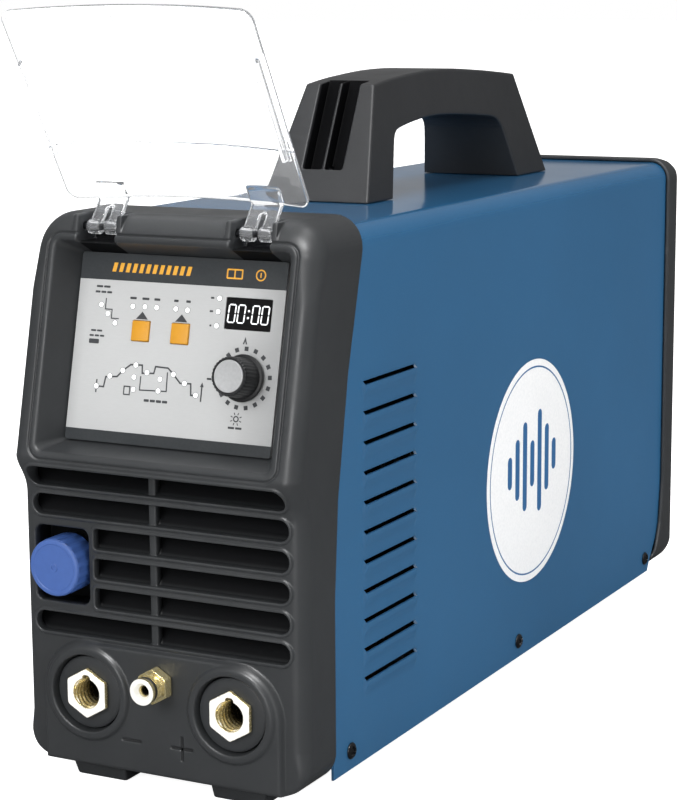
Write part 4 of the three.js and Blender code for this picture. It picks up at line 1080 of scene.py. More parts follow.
def cut_socket_pad(form, front, outline):
    """The raised pad low on the front, with its rings, wells and polarity recesses."""
    lo, hi = (-75, -8, -1), (75, 6, 75)
    part = form.part(lo, hi)
    limit = round_meet(crop(front, part) - 3.0, crop(outline, part), 2.0)

    def pad(x, y, z):
        shape = rect_distance(x, z, -65, 65, -40, 69, 25.0)
        sides = (3 * (shape - 0.9) - 1.6 * y) / 3.4
        return meet(round_meet(sides, -(y + 3), 0.7), y - 2, limit)

    form.add(lo, hi, pad, 0.35)
    for side in SIDES:
        cx, cz = side * SOCKET_X, SOCKET_Z

        def ring(x, y, z):
            outer = (np.hypot(x - cx, z - cz) - 22.2 - 0.75 * (y + 5)) * 0.8
            return meet(round_meet(outer, -(y + 5), 0.8), y - 2)

        form.add((cx - 26, -8, cz - 26), (cx + 26, 4, cz + 26), ring, 0.3)
        form.add((cx - 24, -2, cz - 24), (cx + 24, 6, cz + 24), lambda x, y, z: meet(
            np.hypot(x - cx, z - cz) - 22, np.abs(y - 2.6) - 1.9), 0.2)
        form.cut((cx - 24, -9, cz - 24), (cx + 24, 3, cz + 24), lambda x, y, z: round_meet(
            np.hypot(x - cx, z - cz) - 18.4 + 0.12 * y, y - 1.5, 1.2), 0.7)
        form.cut((cx - 16, -2, cz - 16), (cx + 16, 8, cz + 16), lambda x, y, z: meet(
            np.hypot(x - cx, z - cz) - 13, np.abs(y - 3) - 5), 0.15)
    form.cut((-7, -10, 47), (7, 6, 62), lambda x, y, z: meet(
        np.hypot(x, z - OUTLET_Z) - 5.4, np.abs(y) - 8), 0.15)
    for x0, x1, z0, z1 in POLARITY_RECESSES:
        form.cut((x0, -5, z0), (x1, 0, z1), lambda x, y, z: meet(
            rect_distance(x, z, x0, x1, z0, z1, 0.3), y + 2.1), 0.2)


def cut_hinge_pockets(form):
    for side in SIDES:
        centre = side * HINGE_X
        form.cut((centre - 12, -2, 256), (centre + 12, 36, 273), lambda x, y, z: meet(
            np.abs(x - centre) - 10.5,
            258.4 - z,
            (y - 33) * 0.9 + np.maximum(262 - z, 0) * 0.5,
        ), 0.9)
        form.cut((centre - 14, 21, 262), (centre + 14, 27, 268), lambda x, y, z: meet(
            np.hypot(y - HINGE_Y, z - HINGE_Z) - 1.75, np.abs(x - centre) - 13.3), 0.05)


def build_front_bezel():
    form = Field((-79, -12, -1.5), (79, 67, 273.5), 0.66)
    x, z = form.x, form.z
    _, top_y, top_z = panel_point(0, 250, 0)
    front = form.section(
        [(0, -80)] + smooth_line(NOSE) + [(top_y, top_z), (300, top_z), (300, -80)]
    )
    # outline seen from the front, with wider corners at the top
    upper = z > 130
    outline = corner_distance(
        np.abs(x) - 77, np.where(upper, z - 271.5, 8.5 - z), np.where(upper, 17.0, 14.0)
    ).astype(np.float32)
    edge = np.interp(z, [8, 14, 30, 236, 258], [2.0, 3.0, 7.5, 7.5, 11.7]).astype(np.float32)
    rear = form.section(BEZEL_BACK)
    body = round_meet(round_meet(front, outline, edge), rear, 0.8)
    inner = round_meet(front + 3.2, outline + 3.2, 5.0)
    lip = meet(outline + 1.65, -(rear + 7.0))
    form.dist = round_meet(body, -join(inner, lip), 0.4)

    cut_panel(form, front, outline, edge)
    cut_grille(form, front)
    cut_cap_recess(form)
    cut_socket_pad(form, front, outline)
    cut_hinge_pockets(form)
    add_feet(form, box_y=(-1, 32), foot_y=(2.6, 29.5), top=9.5)

    sheet = corner_distance(np.abs(x) - 75.3, z - 267.3, 10.3).astype(np.float32)
    seat = meet(form.section(COVER_SEAT), sheet)
    form.dist = round_meet(form.dist, -seat, 0.15).astype(np.float32)
    keep = 0.2
    form.build("bezel_front", keep, slot="moulded_grey", replaced="front_bezel")


build_polarity_marks()
build_front_bezel()

# ------------------------------------------------------------------ rear bezel
# (y, z) of the outside, and of the room inside
REAR_OUTSIDE = [
    (485, 270), (485, 62), (481.5, 36), (473, 17), (467, 8.5), (486, 8.5), (495, 12),
    (500, 22), (500, 262), (497, 267.5), (491, 270),
]
REAR_ROOM = [(440, 11.5), (490.2, 11.5), (494, 16), (497, 24), (497, 268), (440, 268)]


def build_rear_bezel():
    form = Field((-79.5, 461, -1.5), (79.5, 504, 272), 0.75)
    outline = rect_distance(form.x, form.z, -78, 78, 8.5, 270, 14.0).astype(np.float32)
    outer = round_meet(form.section(REAR_OUTSIDE), outline, 1.3)
    inner_outline = rect_distance(form.x, form.z, -75.3, 75.3, 11.5, 267.3, 10.6)
    inner = round_meet(form.section(REAR_ROOM), inner_outline.astype(np.float32), 1.0)
    form.dist = round_meet(outer, -inner, 0.4).astype(np.float32)
    # a low ring round the fan and a shallow groove round the lower fittings
    form.add((-66, 496, 98), (66, 503, 232), lambda x, y, z: round_meet(
        np.abs(np.hypot(x, z - FAN_Z) - 61.5) - 2.2, y - 501.0, 0.5), 0.6)
    form.cut((-66, 498, 28), (66, 502, 92), lambda x, y, z: meet(
        np.abs(rect_distance(x, z, -63, 63, 32, 90, 8.0)) - 0.6, 499.3 - y), 0.3)
    for i in range(4):  # bosses under the ends of the guard's spokes
        angle = math.pi / 4 + i * math.pi / 2
        cx, cz = 66.5 * math.cos(angle), FAN_Z + 66.5 * math.sin(angle)
        form.add((cx - 6, 496, cz - 6), (cx + 6, 504, cz + 6), lambda x, y, z: round_meet(
            np.hypot(x - cx, z - cz) - 3.6, y - 502.4, 0.8), 0.8)
    # openings for the fan, the switch, the cord gland and the gas intake
    form.cut((-59, 490, 106), (59, 504, 224), lambda x, y, z: np.hypot(x, z - FAN_Z) - 57, 0.6)
    form.cut((-17, 490, 54), (17, 504, 82), lambda x, y, z: (
        rect_distance(x, z, -15, 15, 56, 80, 1.0) + 0 * y), 0.3)
    form.cut((36, 490, 38), (56, 504, 58), lambda x, y, z: (
        np.hypot(x - REAR_FITTING_X, z - REAR_FITTING_Z) - 8.4), 0.3)
    form.cut((-54, 490, 40), (-38, 504, 56), lambda x, y, z: (
        np.hypot(x + REAR_FITTING_X, z - REAR_FITTING_Z) - 6.5), 0.3)
    for cx in REAR_SCREW_X:
        for cz in REAR_SCREW_Z:
            form.add((cx - 6, 489, cz - 6), (cx + 6, 499, cz + 6), lambda x, y, z: meet(
                np.hypot(x - cx, z - cz) - 4.6, 490.2 - y, y - 498), 0.3)
            form.cut((cx - 4, 488, cz - 4), (cx + 4, 504, cz + 4), lambda x, y, z: (
                np.hypot(x - cx, z - cz) - 2.3), 0.1)
            form.cut((cx - 6, 498, cz - 6), (cx + 6, 504, cz + 6), lambda x, y, z: meet(
                np.hypot(x - cx, z - cz) - 4.7, 499.6 - y), 0.1)
    add_feet(form, box_y=(462, 493), foot_y=(464, 491), top=10)
    form.build(
        "bezel_rear", 0.35, mats=["rear_grey"], slot="moulded_grey",
        replaced="rear_bezel",
    )


build_rear_bezel()

# ------------------------------------------------------------------ carrying handle
HANDLE_Y, HANDLE_Z = 156.2, 266  # foot of the sloping front face
# (y, z) along the top of the grip, front to back
GRIP_TOP = [
    (185.9, 326.1), (200, 327.9), (216.5, 329.4), (246.7, 331.3), (280.7, 331.5),
    (320.9, 329.5), (352, 327.3), (369.6, 325.8),
]
# (y, z) round the hand opening, back to front
HAND_OPENING = [
    (347, 283), (343.8, 291), (340.6, 297), (334.5, 301.3), (326, 303.2), (312, 304.4),
    (297, 305.4), (270, 306.8), (248, 306.9), (225, 305), (208, 302.6), (202.6, 300.6),
    (199.4, 296.6), (194, 284.6),
]
# x0, x1 and depth of the shallow recess and of the two slots left and right of its web
FACE_SLOTS = ((-11.4, 11.6, 1.2, 0.4), (-11.4, -0.8, 8.8, 0.3), (0.8, 11.6, 8.8, 0.3))


def build_handle():
    form = Field((-33, 154, 265.5), (33, 399, 333.5), 0.62)
    x, z = form.x, form.z
    outer = form.section([(HANDLE_Y, HANDLE_Z)] + smooth_line(GRIP_TOP, 3) + [(396.6, HANDLE_Z)])
    opening = form.section([(186, 266), (353.4, 266)] + smooth_line(HAND_OPENING, 2))
    slope = (31.3 - 20.4) / (326.1 - 266)
    sides = (np.abs(x) - (31.3 - (z - 266) * slope)) * math.cos(math.atan(slope))
    sides = sides.astype(np.float32)
    body = round_meet(round_meet(outer, sides, 1.5), -opening, 1.3)
    form.dist = meet(round_meet(body, sides, 1.3), 267.3 - z).astype(np.float32)

    run, rise = 29.7, 60.1  # slope of the front face
    length = math.hypot(run, rise)
    run, rise = run / length, rise / length
    for x0, x1, depth, edge in FACE_SLOTS:

        def slot(x, y, z):
            up = (y - HANDLE_Y) * run + (z - HANDLE_Z) * rise
            inward = (y - HANDLE_Y) * rise - (z - HANDLE_Z) * run
            return meet(round_meet(slab(x, x0, x1), 19.5 - up, 1.2), inward - depth)

        form.cut((-14, 154, 270), (14, 200, 333), slot, edge)
    for bore_y in (173, 378):
        form.cut((-4, bore_y - 4, 266), (4, bore_y + 4, 290), lambda x, y, z: meet(
            np.hypot(x, y - bore_y) - 2.4, z - 284), 0.1)
    form.build(
        "grip_handle", 0.4, mats=["handle_grey"], slot="moulded_grey",
        replaced="handle",
    )


build_handle()

# ------------------------------------------------------------------ clear cover
# Laid out in the sheet's own frame: x across, then up the sheet, then out of it.
TILT = math.radians(30.87)
SIN_TILT, COS_TILT = math.sin(TILT), math.cos(TILT)
COVER_Y, COVER_Z = 32.4, 277.4
COVER_HALF, COVER_TALL = 65.3, 103.3


def bow(x):
    """How far the sheet's face bulges."""
    return 5 * (1 - (x / COVER_HALF) ** 2)


def strip_distance(up, out, start, end, half):
    start, end = np.array(start, float), np.array(end, float)
    edge = end - start
    along = ((up - start[0]) * edge[0] + (out - start[1]) * edge[1]) / (edge @ edge)
    t = np.clip(along, 0, 1)
    return np.hypot(up - start[0] - edge[0] * t, out - start[1] - edge[1] * t) - half


def build_clear_cover():
    form = Field((-67, -12, -19), (67, 105, 7), 0.5)
    x, up, out = form.x, form.y, form.z
    middle = (out - (bow(x) - 1.0)) / np.sqrt(1 + (10 * x / COVER_HALF**2) ** 2)
    edge = rect_distance(x, up, -COVER_HALF, COVER_HALF, 0, COVER_TALL, 6.0)
    form.dist = round_meet(np.abs(middle) - 1.0, edge, 0.7).astype(np.float32)
    for side in SIDES:  # a rib behind each side edge
        rib_x = side * 61.5
        form.add((rib_x - 3, 22, -8), (rib_x + 3, 84, 2), lambda x, u, v: round_meet(
            round_meet(np.abs(x - rib_x) - 0.95, np.abs(u - 53) - 27 + 0.35 * (-v), 0.4),
            slab(v, -6.2, -0.4),
            0.5,
        ), 0.5)
    # a fine moulded line across the sheet
    form.cut((-66, 28, -3), (66, 34, 7), lambda x, u, v: round_meet(
        np.abs(u - 31.0) - 0.45, (bow(x) - 0.35) - v, 0.1), 0.15)

    pin_y, pin_z = HINGE_Y - COVER_Y, HINGE_Z - COVER_Z
    pin_up = -pin_y * SIN_TILT + pin_z * COS_TILT
    pin_out = pin_y * COS_TILT + pin_z * SIN_TILT
    for side in SIDES:
        centre = side * HINGE_X
        sheet_out = bow(centre) - 1.2

        def hinge_arm(x, u, v):
            arm = join(
                strip_distance(u, v, (pin_up, pin_out), (-0.5, 0.8), 1.25),
                strip_distance(u, v, (-0.5, 0.8), (7, sheet_out), 1.3),
            )
            barrel = np.hypot(u - pin_up, v - pin_out) - 3.5
            return round_meet(round_join(arm, barrel, 1.0), np.abs(x - centre) - 8, 0.6)

        def gap(x, u, v):
            z = COVER_Z + COS_TILT * u + SIN_TILT * v
            return meet(round_meet(np.abs(x - centre) - 1.7, z - 273.5, 1.2), v - 0.5)

        form.add((centre - 9.5, -11, -18.5), (centre + 9.5, 10, 6), hinge_arm, 1.2)
        form.cut((centre - 3, -12, -19), (centre + 3, 6, 4), gap, 0.4)
        form.cut((centre - 9.5, -12, -19), (centre + 9.5, 2, -6), lambda x, u, v: (
            np.hypot(u - pin_up, v - pin_out) - 1.8), 0.2)
    axes = np.array([[1, 0, 0], [0, -SIN_TILT, COS_TILT], [0, COS_TILT, SIN_TILT]], float)
    form.build(
        "flip_cover", 0.5, place=(np.array([0, COVER_Y, COVER_Z]), axes),
        body="cover", slot="clear_plastic", replaced="clear_cover",
    )


build_clear_cover()

# ------------------------------------------------------------------ steel cover
SHELL_TOP, SHELL_HALF, SHELL_RADIUS, BEND_STEPS = 267.0, 75.0, 10.0, 10
# (z, y) of the front and rear edges
SHELL_FRONT = [
    (8, 30.4), (24, 30.4), (26, 24), (95, 24), (142.8, 27.7), (200, 38.5), (253.4, 53.3),
    (267, 57.2),
]
SHELL_REAR = [(8, 464), (14.5, 468), (32, 482.5), (38, 493), (268, 493)]
LOUVRE_COUNT, LOUVRE_TOP, LOUVRE_PITCH, LOUVRE_GAP = 11, 193.7, 14.42, 2.2
LOUVRE_Y0, LOUVRE_Y1, LOUVRE_PUSH = 62.8, 118.8, 2.0
LOUVRE_FADES = (0.0, 0.5, 1.2, 2.2, 3.4, 4.8, 6.3, 8.0)  # distances below the open edge
# Columns run from the front edge to the first y, through the y values, on to the rear edge.
FRONT_SHARES = (0, 0.2, 0.5616, 0.721, 0.88)
COLUMN_Y = (
    58.0, 60.4, 61.4, 62.2, LOUVRE_Y0, 63.6, 64.8, 67, 75, 90.8, 106.6, 114.6, 116.8, 118.0,
    LOUVRE_Y1, 119.4, 120.2, 121.2, 123.5, 140, 170.4, 175.6, 210, 250, 254.4, 300, 340,
    375.4, 380.6, 420, 445, 455.8, 460.2,
)
REAR_SHARES = (0.5, 1.0)
# column values on either side of each screw hole; the first pair are front shares
SIDE_HOLES = ((0.5616, 0.721), (250, 254.4), (455.8, 460.2))
ROOF_HOLES = ((170.4, 175.6), (375.4, 380.6))
SIDE_HOLE_Z = (15.2, 19.6)
ROOF_HOLE_X = 2.6


def shell_section():
    """Stations (x, z, normal x, normal z, louvre share, is louvre top) from right to left."""
    side = [(z, 0.0, False) for z in (8.0, *SIDE_HOLE_Z, 25.6, 26.0, 38.0)]
    for i in reversed(range(LOUVRE_COUNT)):
        top = LOUVRE_TOP - LOUVRE_PITCH * i
        for fade in reversed(LOUVRE_FADES):
            share = 0.5 + 0.5 * math.cos(math.pi * min(1, fade / 8.0))
            side.append((top - LOUVRE_GAP - fade, share, False))
        side += [(top, 0.0, True), (top + 1.5, 0.0, False)]
    side += [(z, 0.0, False) for z in (205, 220, 238, 250, SHELL_TOP - SHELL_RADIUS)]

    def bend(sign, angle):
        c, s = math.cos(angle), math.sin(angle)
        x = sign * (SHELL_HALF - SHELL_RADIUS) + SHELL_RADIUS * c
        return x, SHELL_TOP - SHELL_RADIUS + SHELL_RADIUS * s, c, s, 0, False

    out = [(SHELL_HALF, z, 1.0, 0.0, share, top) for z, share, top in side]
    out += [bend(1, math.pi / 2 * i / BEND_STEPS) for i in range(1, BEND_STEPS + 1)]
    for x in (45, 20, ROOF_HOLE_X, -ROOF_HOLE_X, -20, -45):
        out.append((x, SHELL_TOP, 0, 1, 0, False))
    out += [bend(-1, math.pi / 2 * (1 + i / BEND_STEPS)) for i in range(BEND_STEPS + 1)]
    out += [(-SHELL_HALF, z, -1.0, 0.0, share, top) for z, share, top in reversed(side[:-1])]
    return out


def shell_point(station, kind, value):
    x, z, normal_x, normal_z, share, _ = station
    if kind == "front":
        y = np.interp(z, *zip(*SHELL_FRONT))
        y = y + (COLUMN_Y[0] - y) * value
    elif kind == "y":
        y = value
    else:
        y = COLUMN_Y[-1] + (np.interp(z, *zip(*SHELL_REAR)) - COLUMN_Y[-1]) * value
    push = 0
    if share:
        ease = np.clip(min(y - 61.0, 120.6 - y) / 2.6, 0, 1)
        push = LOUVRE_PUSH * share * ease * ease * (3 - 2 * ease)
    lift = 0.5 * push / LOUVRE_PUSH if share > 0.99 else 0
    return x + normal_x * push, y, z + normal_z * push + lift


def is_opening(a, b, span):
    """Whether the cell between two stations and a span of columns is left open."""
    on_side = abs(a[0]) == SHELL_HALF and abs(b[0]) == SHELL_HALF
    if on_side and (a[5] or b[5]) and abs(abs(a[1] - b[1]) - LOUVRE_GAP) < 1e-6:
        return LOUVRE_Y0 <= span[0] < LOUVRE_Y1
    if on_side and {round(a[1], 1), round(b[1], 1)} == set(SIDE_HOLE_Z):
        return span in SIDE_HOLES
    if {a[0], b[0]} == {ROOF_HOLE_X, -ROOF_HOLE_X} and a[1] == SHELL_TOP:
        return span in ROOF_HOLES
    return False


def build_shell():
    section = shell_section()
    columns = [("front", share) for share in FRONT_SHARES]
    columns += [("y", y) for y in COLUMN_Y]
    columns += [("rear", share) for share in REAR_SHARES]
    verts = [shell_point(station, *column) for station in section for column in columns]
    count = len(columns)
    faces = []
    for i in range(len(section) - 1):
        for j in range(count - 1):
            span = (columns[j][1], columns[j + 1][1])
            if not is_opening(section[i], section[i + 1], span):
                a, b = i * count + j, (i + 1) * count + j
                faces.append((a, a + 1, b + 1, b))
    mesh = bpy.data.meshes.new("case_cover")
    mesh.from_pydata(to_metres(verts).tolist(), [], faces)
    ob = link_object("case_cover", mesh, ["case_blue"])
    shape = bmesh.new()
    shape.from_mesh(mesh)
    loose = [v for v in shape.verts if not v.link_faces]
    bmesh.ops.delete(shape, geom=loose, context="VERTS")
    bmesh.ops.recalc_face_normals(shape, faces=shape.faces)
    # the largest face shows whether the normals point outwards
    face = max(shape.faces, key=lambda f: f.calc_area())
    middle = face.calc_center_median()
    if face.normal.dot(Vector((middle.x, 0, middle.z - 0.13))) < 0:
        bmesh.ops.reverse_faces(shape, faces=shape.faces)
    shape.to_mesh(mesh)
    shape.free()
    shade_smooth(mesh)
    sheet = ob.modifiers.new("sheet", "SOLIDIFY")
    sheet.thickness = 1.2 * MM
    sheet.offset = -1
    sheet.use_even_offset = True
    sheet.use_rim = True
    evaluated = ob.evaluated_get(bpy.context.evaluated_depsgraph_get())
    solid = bpy.data.meshes.new_from_object(evaluated)
    ob.modifiers.clear()
    ob.data = solid
    shade_smooth(solid)
    solid.set_sharp_from_angle(angle=math.radians(50))
    declare(ob, slot="case_blue", replaced="outer_shell")


build_shell()


# ------------------------------------------------------------------ round badge on the right side
BADGE_BARS = ((-9, 9), (-17, 17), (-25, 25), (-13, 13), (-29, 29), (-19, 19), (-9, 9))


def build_badge():
    """A white disc with a ring and a row of upright bars."""
    shape = bmesh.new()
    place = axes_matrix((SHELL_HALF, 269.95, 111.1), (0, 1, 0), (0, 0, 1), (1, 0, 0))
    disc = [(0, -0.05), (62.1, -0.05), (62.3, 0.05), (62.25, 0.16), (61.9, 0.22), (0, 0.22)]
    add_lathe(shape, place, disc, 160)
    ring_hole = circle(0, 0, 57.6, 160)
    add_prism(shape, place, circle(0, 0, 58.5, 160), 0.2, 0.27, mat=1, holes=[ring_hole])
    for i, (low, high) in enumerate(BADGE_BARS):
        cx = -31.5 + i * 10.5
        bar = rounded_rect(cx - 2.9, cx + 2.9, low + 4, high + 4, 2.85, 8)
        add_prism(shape, place, bar, 0.2, 0.29, mat=1)
    finish_shape("side_badge", shape, ["badge_white", "badge_line"])


build_badge()

# ------------------------------------------------------------------ control panel
# Places on the panel are (x, up); heights are out of the panel.
PANEL = panel_frame()
FILM_TOP = -13.0
FILM_HALF, FILM_LOW, FILM_HIGH = 55.8, 7.4, 96.7
DARK, GOLD, WHITE, MID, BAND = range(5)
LAMPS = (
    (-42.6, 72), (-38.5, 67.9), (-34.1, 63.7), (-25.1, 72.1), (-18.4, 72.3), (-11.9, 72.2),
    (-1.5, 72.2), (4.9, 72), (21.4, 78.5), (21.3, 72.3), (21.2, 65.7), (-41, 33.4),
    (-34, 38.6), (-27.1, 41.7), (-20.2, 44.7), (-20.6, 39), (-13.7, 41.6), (-20.4, 33.2),
    (-6.3, 39), (-6.7, 33.5), (0.7, 41.8), (7.1, 38), (13.7, 33),
)
CYCLE_LINE = (
    (-41, 33.4), (-37, 33.3), (-36.2, 38.1), (-30, 38.6), (-27, 41.7), (-23, 44.7),
    (-16.7, 44.9), (-16.3, 41.1), (-10, 41.5), (-9.3, 44.7), (-2.5, 44.5), (0.7, 41.8),
    (4.8, 37.9), (10.5, 38.1), (11.1, 32.8), (13.7, 33),
)
# points, width and top of the lines round the weld cycle line
CYCLE_EXTRAS = (
    (((-16.9, 39.7), (-16.9, 33.2), (-2.3, 33.6), (-2.6, 42.5)), 0.6, -12.945),
    (((-41.0, 30.4), (-41.0, 36.6)), 0.7, -12.935),
    (((16.6, 30.2), (16.6, 37.0)), 0.7, -12.935),
    (((-25.5, 30.6), (-22.3, 30.6), (-22.3, 34.4), (-25.5, 34.4), (-25.5, 30.6)), 0.6, -12.935),
)
# x0, x1, up and thickness of each row of dashes where a label would stand
LABELS = (
    (-46.2, -38.6, 80.6, 1.0), (-46.6, -37.4, 78.0, 1.0), (-47.0, -40.8, 59.6, 0.9),
    (-47.6, -39.4, 57.2, 0.9), (-26.9, -23.4, 76.0, 1.1), (-20.2, -16.4, 76.0, 1.1),
    (-13.6, -10.4, 76.0, 1.1), (-2.8, -0.4, 76.0, 1.1), (3.8, 6.2, 76.0, 1.1),
    (16.8, 18.6, 78.5, 0.9), (16.8, 18.6, 72.3, 0.9), (17.4, 18.4, 65.7, 0.9),
    (-14.0, -1.2, 28.6, 1.2), (32.4, 39.6, 19.6, 1.0),
)


def build_film():
    holes = [circle(KNOB_X, KNOB_UP, 4.4, 32), rounded_rect(25.1, 49.6, 64.5, 79.4, 0.6, 2)]
    for x in KEYS.values():
        holes.append(rounded_rect(x - 5.05, x + 5.05, KEY_UP - 5.05, KEY_UP + 5.05, 0.5, 2))
    shape = bmesh.new()
    outline = rounded_rect(-FILM_HALF, FILM_HALF, FILM_LOW, FILM_HIGH, 1.5, 4)
    add_prism(shape, PANEL, outline, -14.6, FILM_TOP, holes=holes)
    finish_shape("control_film", shape, sharp=30, slot="panel_film", replaced="panel_overlay")


def build_print():
    shape = bmesh.new()

    def flat(outline, mat=DARK, top=-12.93, holes=()):
        add_prism(shape, PANEL, outline, FILM_TOP - 0.02, top, mat, holes)

    # dark bands along the top and the bottom
    for low, high, radii in (
        (83.9, 96.72, (0.02, 0.02, 1.5, 1.5)),
        (7.38, 12.8, (1.5, 1.5, 0.02, 0.02)),
    ):
        band = rounded_rect(-55.82, 55.82, low, high, radii, 4)
        add_prism(shape, PANEL, band, -13.4, -12.96, BAND)
    # slanting gold bars in place of a title
    for i in range(12):
        x = -38.4 + i * 3.7
        flat([(x, 87.9), (x + 2.1, 87.9), (x + 3.0, 92.2), (x + 0.9, 92.2)], GOLD)
    # two small pictogram frames
    panes = [rounded_rect(x0, x1, 88.4, 91.7, 0.2, 1) for x0, x1 in ((24.7, 27.95), (28.65, 31.9))]
    flat(rounded_rect(24.0, 32.6, 87.7, 92.4, 0.5, 2), GOLD, holes=panes)
    flat(circle(42, 90.1, 2.7, 28), GOLD, holes=[circle(42, 90.1, 2.05, 28)])
    flat(rounded_rect(41.7, 42.3, 88.9, 91.3, 0.28, 2), GOLD)
    # indicator lamps
    dome = [
        (0, FILM_TOP - 0.02), (1.2, FILM_TOP - 0.02), (1.2, -12.9), (0.9, -12.8),
        (0.4, -12.74), (0, -12.72),
    ]
    for x, up in LAMPS:
        flat(circle(x, up, 1.45, 20), MID, -12.925)
        add_lathe(shape, panel_frame(x, up), dome, 20, WHITE)
    # weld cycle line, its side lines and a pointer
    flat(ribbon(CYCLE_LINE, 0.75), top=-12.94)
    for points, width, top in CYCLE_EXTRAS:
        flat(ribbon(points, width), top=top)
    flat([(15.6, 37.0), (17.6, 37.0), (16.6, 39.2)], top=-12.936)
    for x0, x1, up, thick in LABELS:
        count = max(1, int((x1 - x0) / 2.6))
        width = (x1 - x0 - 0.6 * (count - 1)) / count
        for i in range(count):
            x = x0 + i * (width + 0.6)
            flat(rounded_rect(x, x + width, up - thick / 2, up + thick / 2, 0.25, 2))
    flat(rounded_rect(-47.6, -42.0, 53.4, 55.6, 0.5, 2))
    stair = [(-40.2, 75.2), (-40.2, 70.0), (-36.4, 70.0), (-36.4, 65.8), (-32.2, 65.8)]
    flat(ribbon(stair, 0.55), top=-12.94)
    # square ticks round the knob
    for i in range(17):
        angle = math.radians(i * 360 / 17 + 90)
        c, s = math.cos(angle), math.sin(angle)
        cx, cy = KNOB_X + 13.6 * c, KNOB_UP + 13.6 * s
        square = [(-1.0, -1.0), (1.0, -1.0), (1.0, 1.0), (-1.0, 1.0)]
        flat([(cx + u * c - v * s, cy + u * s + v * c) for u, v in square])
    # pointed mark over the knob, bar at its left, ring with rays below
    flat([(36.0, 58.2), (37.1, 61.6), (38.2, 58.2), (37.55, 58.2), (37.1, 59.8), (36.65, 58.2)])
    flat(rounded_rect(18.8, 21.4, 40.6, 41.5, 0.3, 2))
    flat(circle(36.2, 23.8, 1.5, 20), holes=[circle(36.2, 23.8, 0.9, 20)])
    for i in range(8):
        angle = i * math.pi / 4 + 0.39
        c, s = math.cos(angle), math.sin(angle)
        flat(ribbon([(36.2 + r * c, 23.8 + r * s) for r in (2.0, 3.1)], 0.45))
    # pointers over the keys
    for x in KEYS.values():
        flat([(x - 3.3, 66.3), (x + 3.3, 66.3), (x, 69.9)])
    finish_shape(
        "panel_print", shape, ["ink_dark", "ink_gold", "led_white", "ink_mid", "ink_band"]
    )


def build_display():
    """A dark window with four white six-segment digits and a colon."""
    shape = bmesh.new()
    add_prism(shape, PANEL, rounded_rect(23.5, 49.7, 63.1, 80.8, 0.5, 2), -22.8, -14.9)
    add_prism(shape, PANEL, rounded_rect(25.4, 49.3, 64.8, 79.1, 0.5, 3), -15, -13.1, 1)
    lean = 0.06
    middle = 71.9
    half = 0.62 / 2  # half the width of a segment
    # x and up from the digit's middle, and whether the segment stands upright
    segments = (
        (0, 4.1, False), (1.75, 2.05, True), (1.75, -2.05, True), (0, -4.1, False),
        (-1.75, -2.05, True), (-1.75, 2.05, True),
    )
    for cx in (28.6, 33.6, 41.1, 46.1):
        for dx, rise, upright in segments:
            angle = math.pi / 2 - lean if upright else 0
            end = (3.8 if upright else 3.2) / 2
            bar = [
                (-end, 0), (-end + half, half), (end - half, half), (end, 0),
                (end - half, -half), (-end + half, -half),
            ]
            c, s = math.cos(angle), math.sin(angle)
            x, up = cx + dx + lean * rise, middle + rise
            turned = [(x + u * c - v * s, up + u * s + v * c) for u, v in bar]
            add_prism(shape, PANEL, turned, -13.12, -13.05, 2)
    for rise in (-1.6, 1.6):
        dot = circle(37.35 + lean * rise, middle + rise, 0.55, 14)
        add_prism(shape, PANEL, dot, -13.12, -13.05, 2)
    finish_shape(
        "display_window", shape, ["black_plastic", "screen_black", "segment_white"],
        sharp=30, slot="black_plastic", replaced="display_module",
    )


def build_key(name, x):
    shape = bmesh.new()
    flange = rounded_rect(x - 5.8, x + 5.8, KEY_UP - 5.8, KEY_UP + 5.8, 0.4, 2)
    add_prism(shape, PANEL, flange, -15.9, -14.9)
    rings = []
    for half, out in ((4.75, -15.0), (4.75, -12.6), (4.62, -12.3), (4.3, -12.12)):
        outline = rounded_rect(-half, half, -half, half, 0.6, 3)
        rings.append([shape.verts.new(PANEL @ Vector((x + u, KEY_UP + v, out))) for u, v in outline])
    for a, b in zip(rings, rings[1:]):
        for i in range(len(a)):
            j = (i + 1) % len(a)
            shape.faces.new((a[i], a[j], b[j], b[i]))
    shape.faces.new(rings[-1])
    shape.faces.new(rings[0][::-1])
    finish_shape(
        "key_" + name, shape, body=name + "_key", slot="key_orange", replaced="button_" + name
    )


def build_knob():
    """A finely fluted knob with a turned metal disc."""
    place = panel_frame(KNOB_X, KNOB_UP)
    profile = [
        (0, -2.0), (3.3, -2.0), (3.3, -8.4), (4.7, -8.4), (4.7, -12.3), (10.6, -12.3),
        (11.0, -12.0), (11.0, -11.2), (10.6, -10.8), (9.6, -10.6), (9.3, -10.2), (9.2, 0.0),
        (9.0, 0.8), (8.5, 1.2), (8.0, 1.2), (7.8, 1.0), (7.8, 0.02), (0, 0.02),
    ]

    def flute(angle, i):
        fluted = 9.0 <= profile[i][0] <= 9.25
        return 1 - (0.035 * max(0, math.cos(angle * 32)) if fluted else 0)

    shape = bmesh.new()
    add_lathe(shape, place, profile, 192, wave=flute)
    finish_shape(
        "knob_body", shape, sharp=28, body="knob", slot="black_plastic",
        replaced="selector_knob",
    )
    disc = [
        (0, 0.3), (7.45, 0.3), (7.5, 0.5), (7.5, 1.15), (7.3, 1.38), (7.0, 1.45),
        (6.6, 1.32), (0, 1.38),
    ]
    shape = bmesh.new()
    add_lathe(shape, place, disc, 96)
    finish_shape(
        "knob_disc", shape, ["silver_disc", "ink_dark"], sharp=30, body="knob",
        slot="aluminium", replaced="knob_cap",
    )


build_film()
build_print()
build_display()
for key_name, key_x in KEYS.items():
    build_key(key_name, key_x)
build_knob()


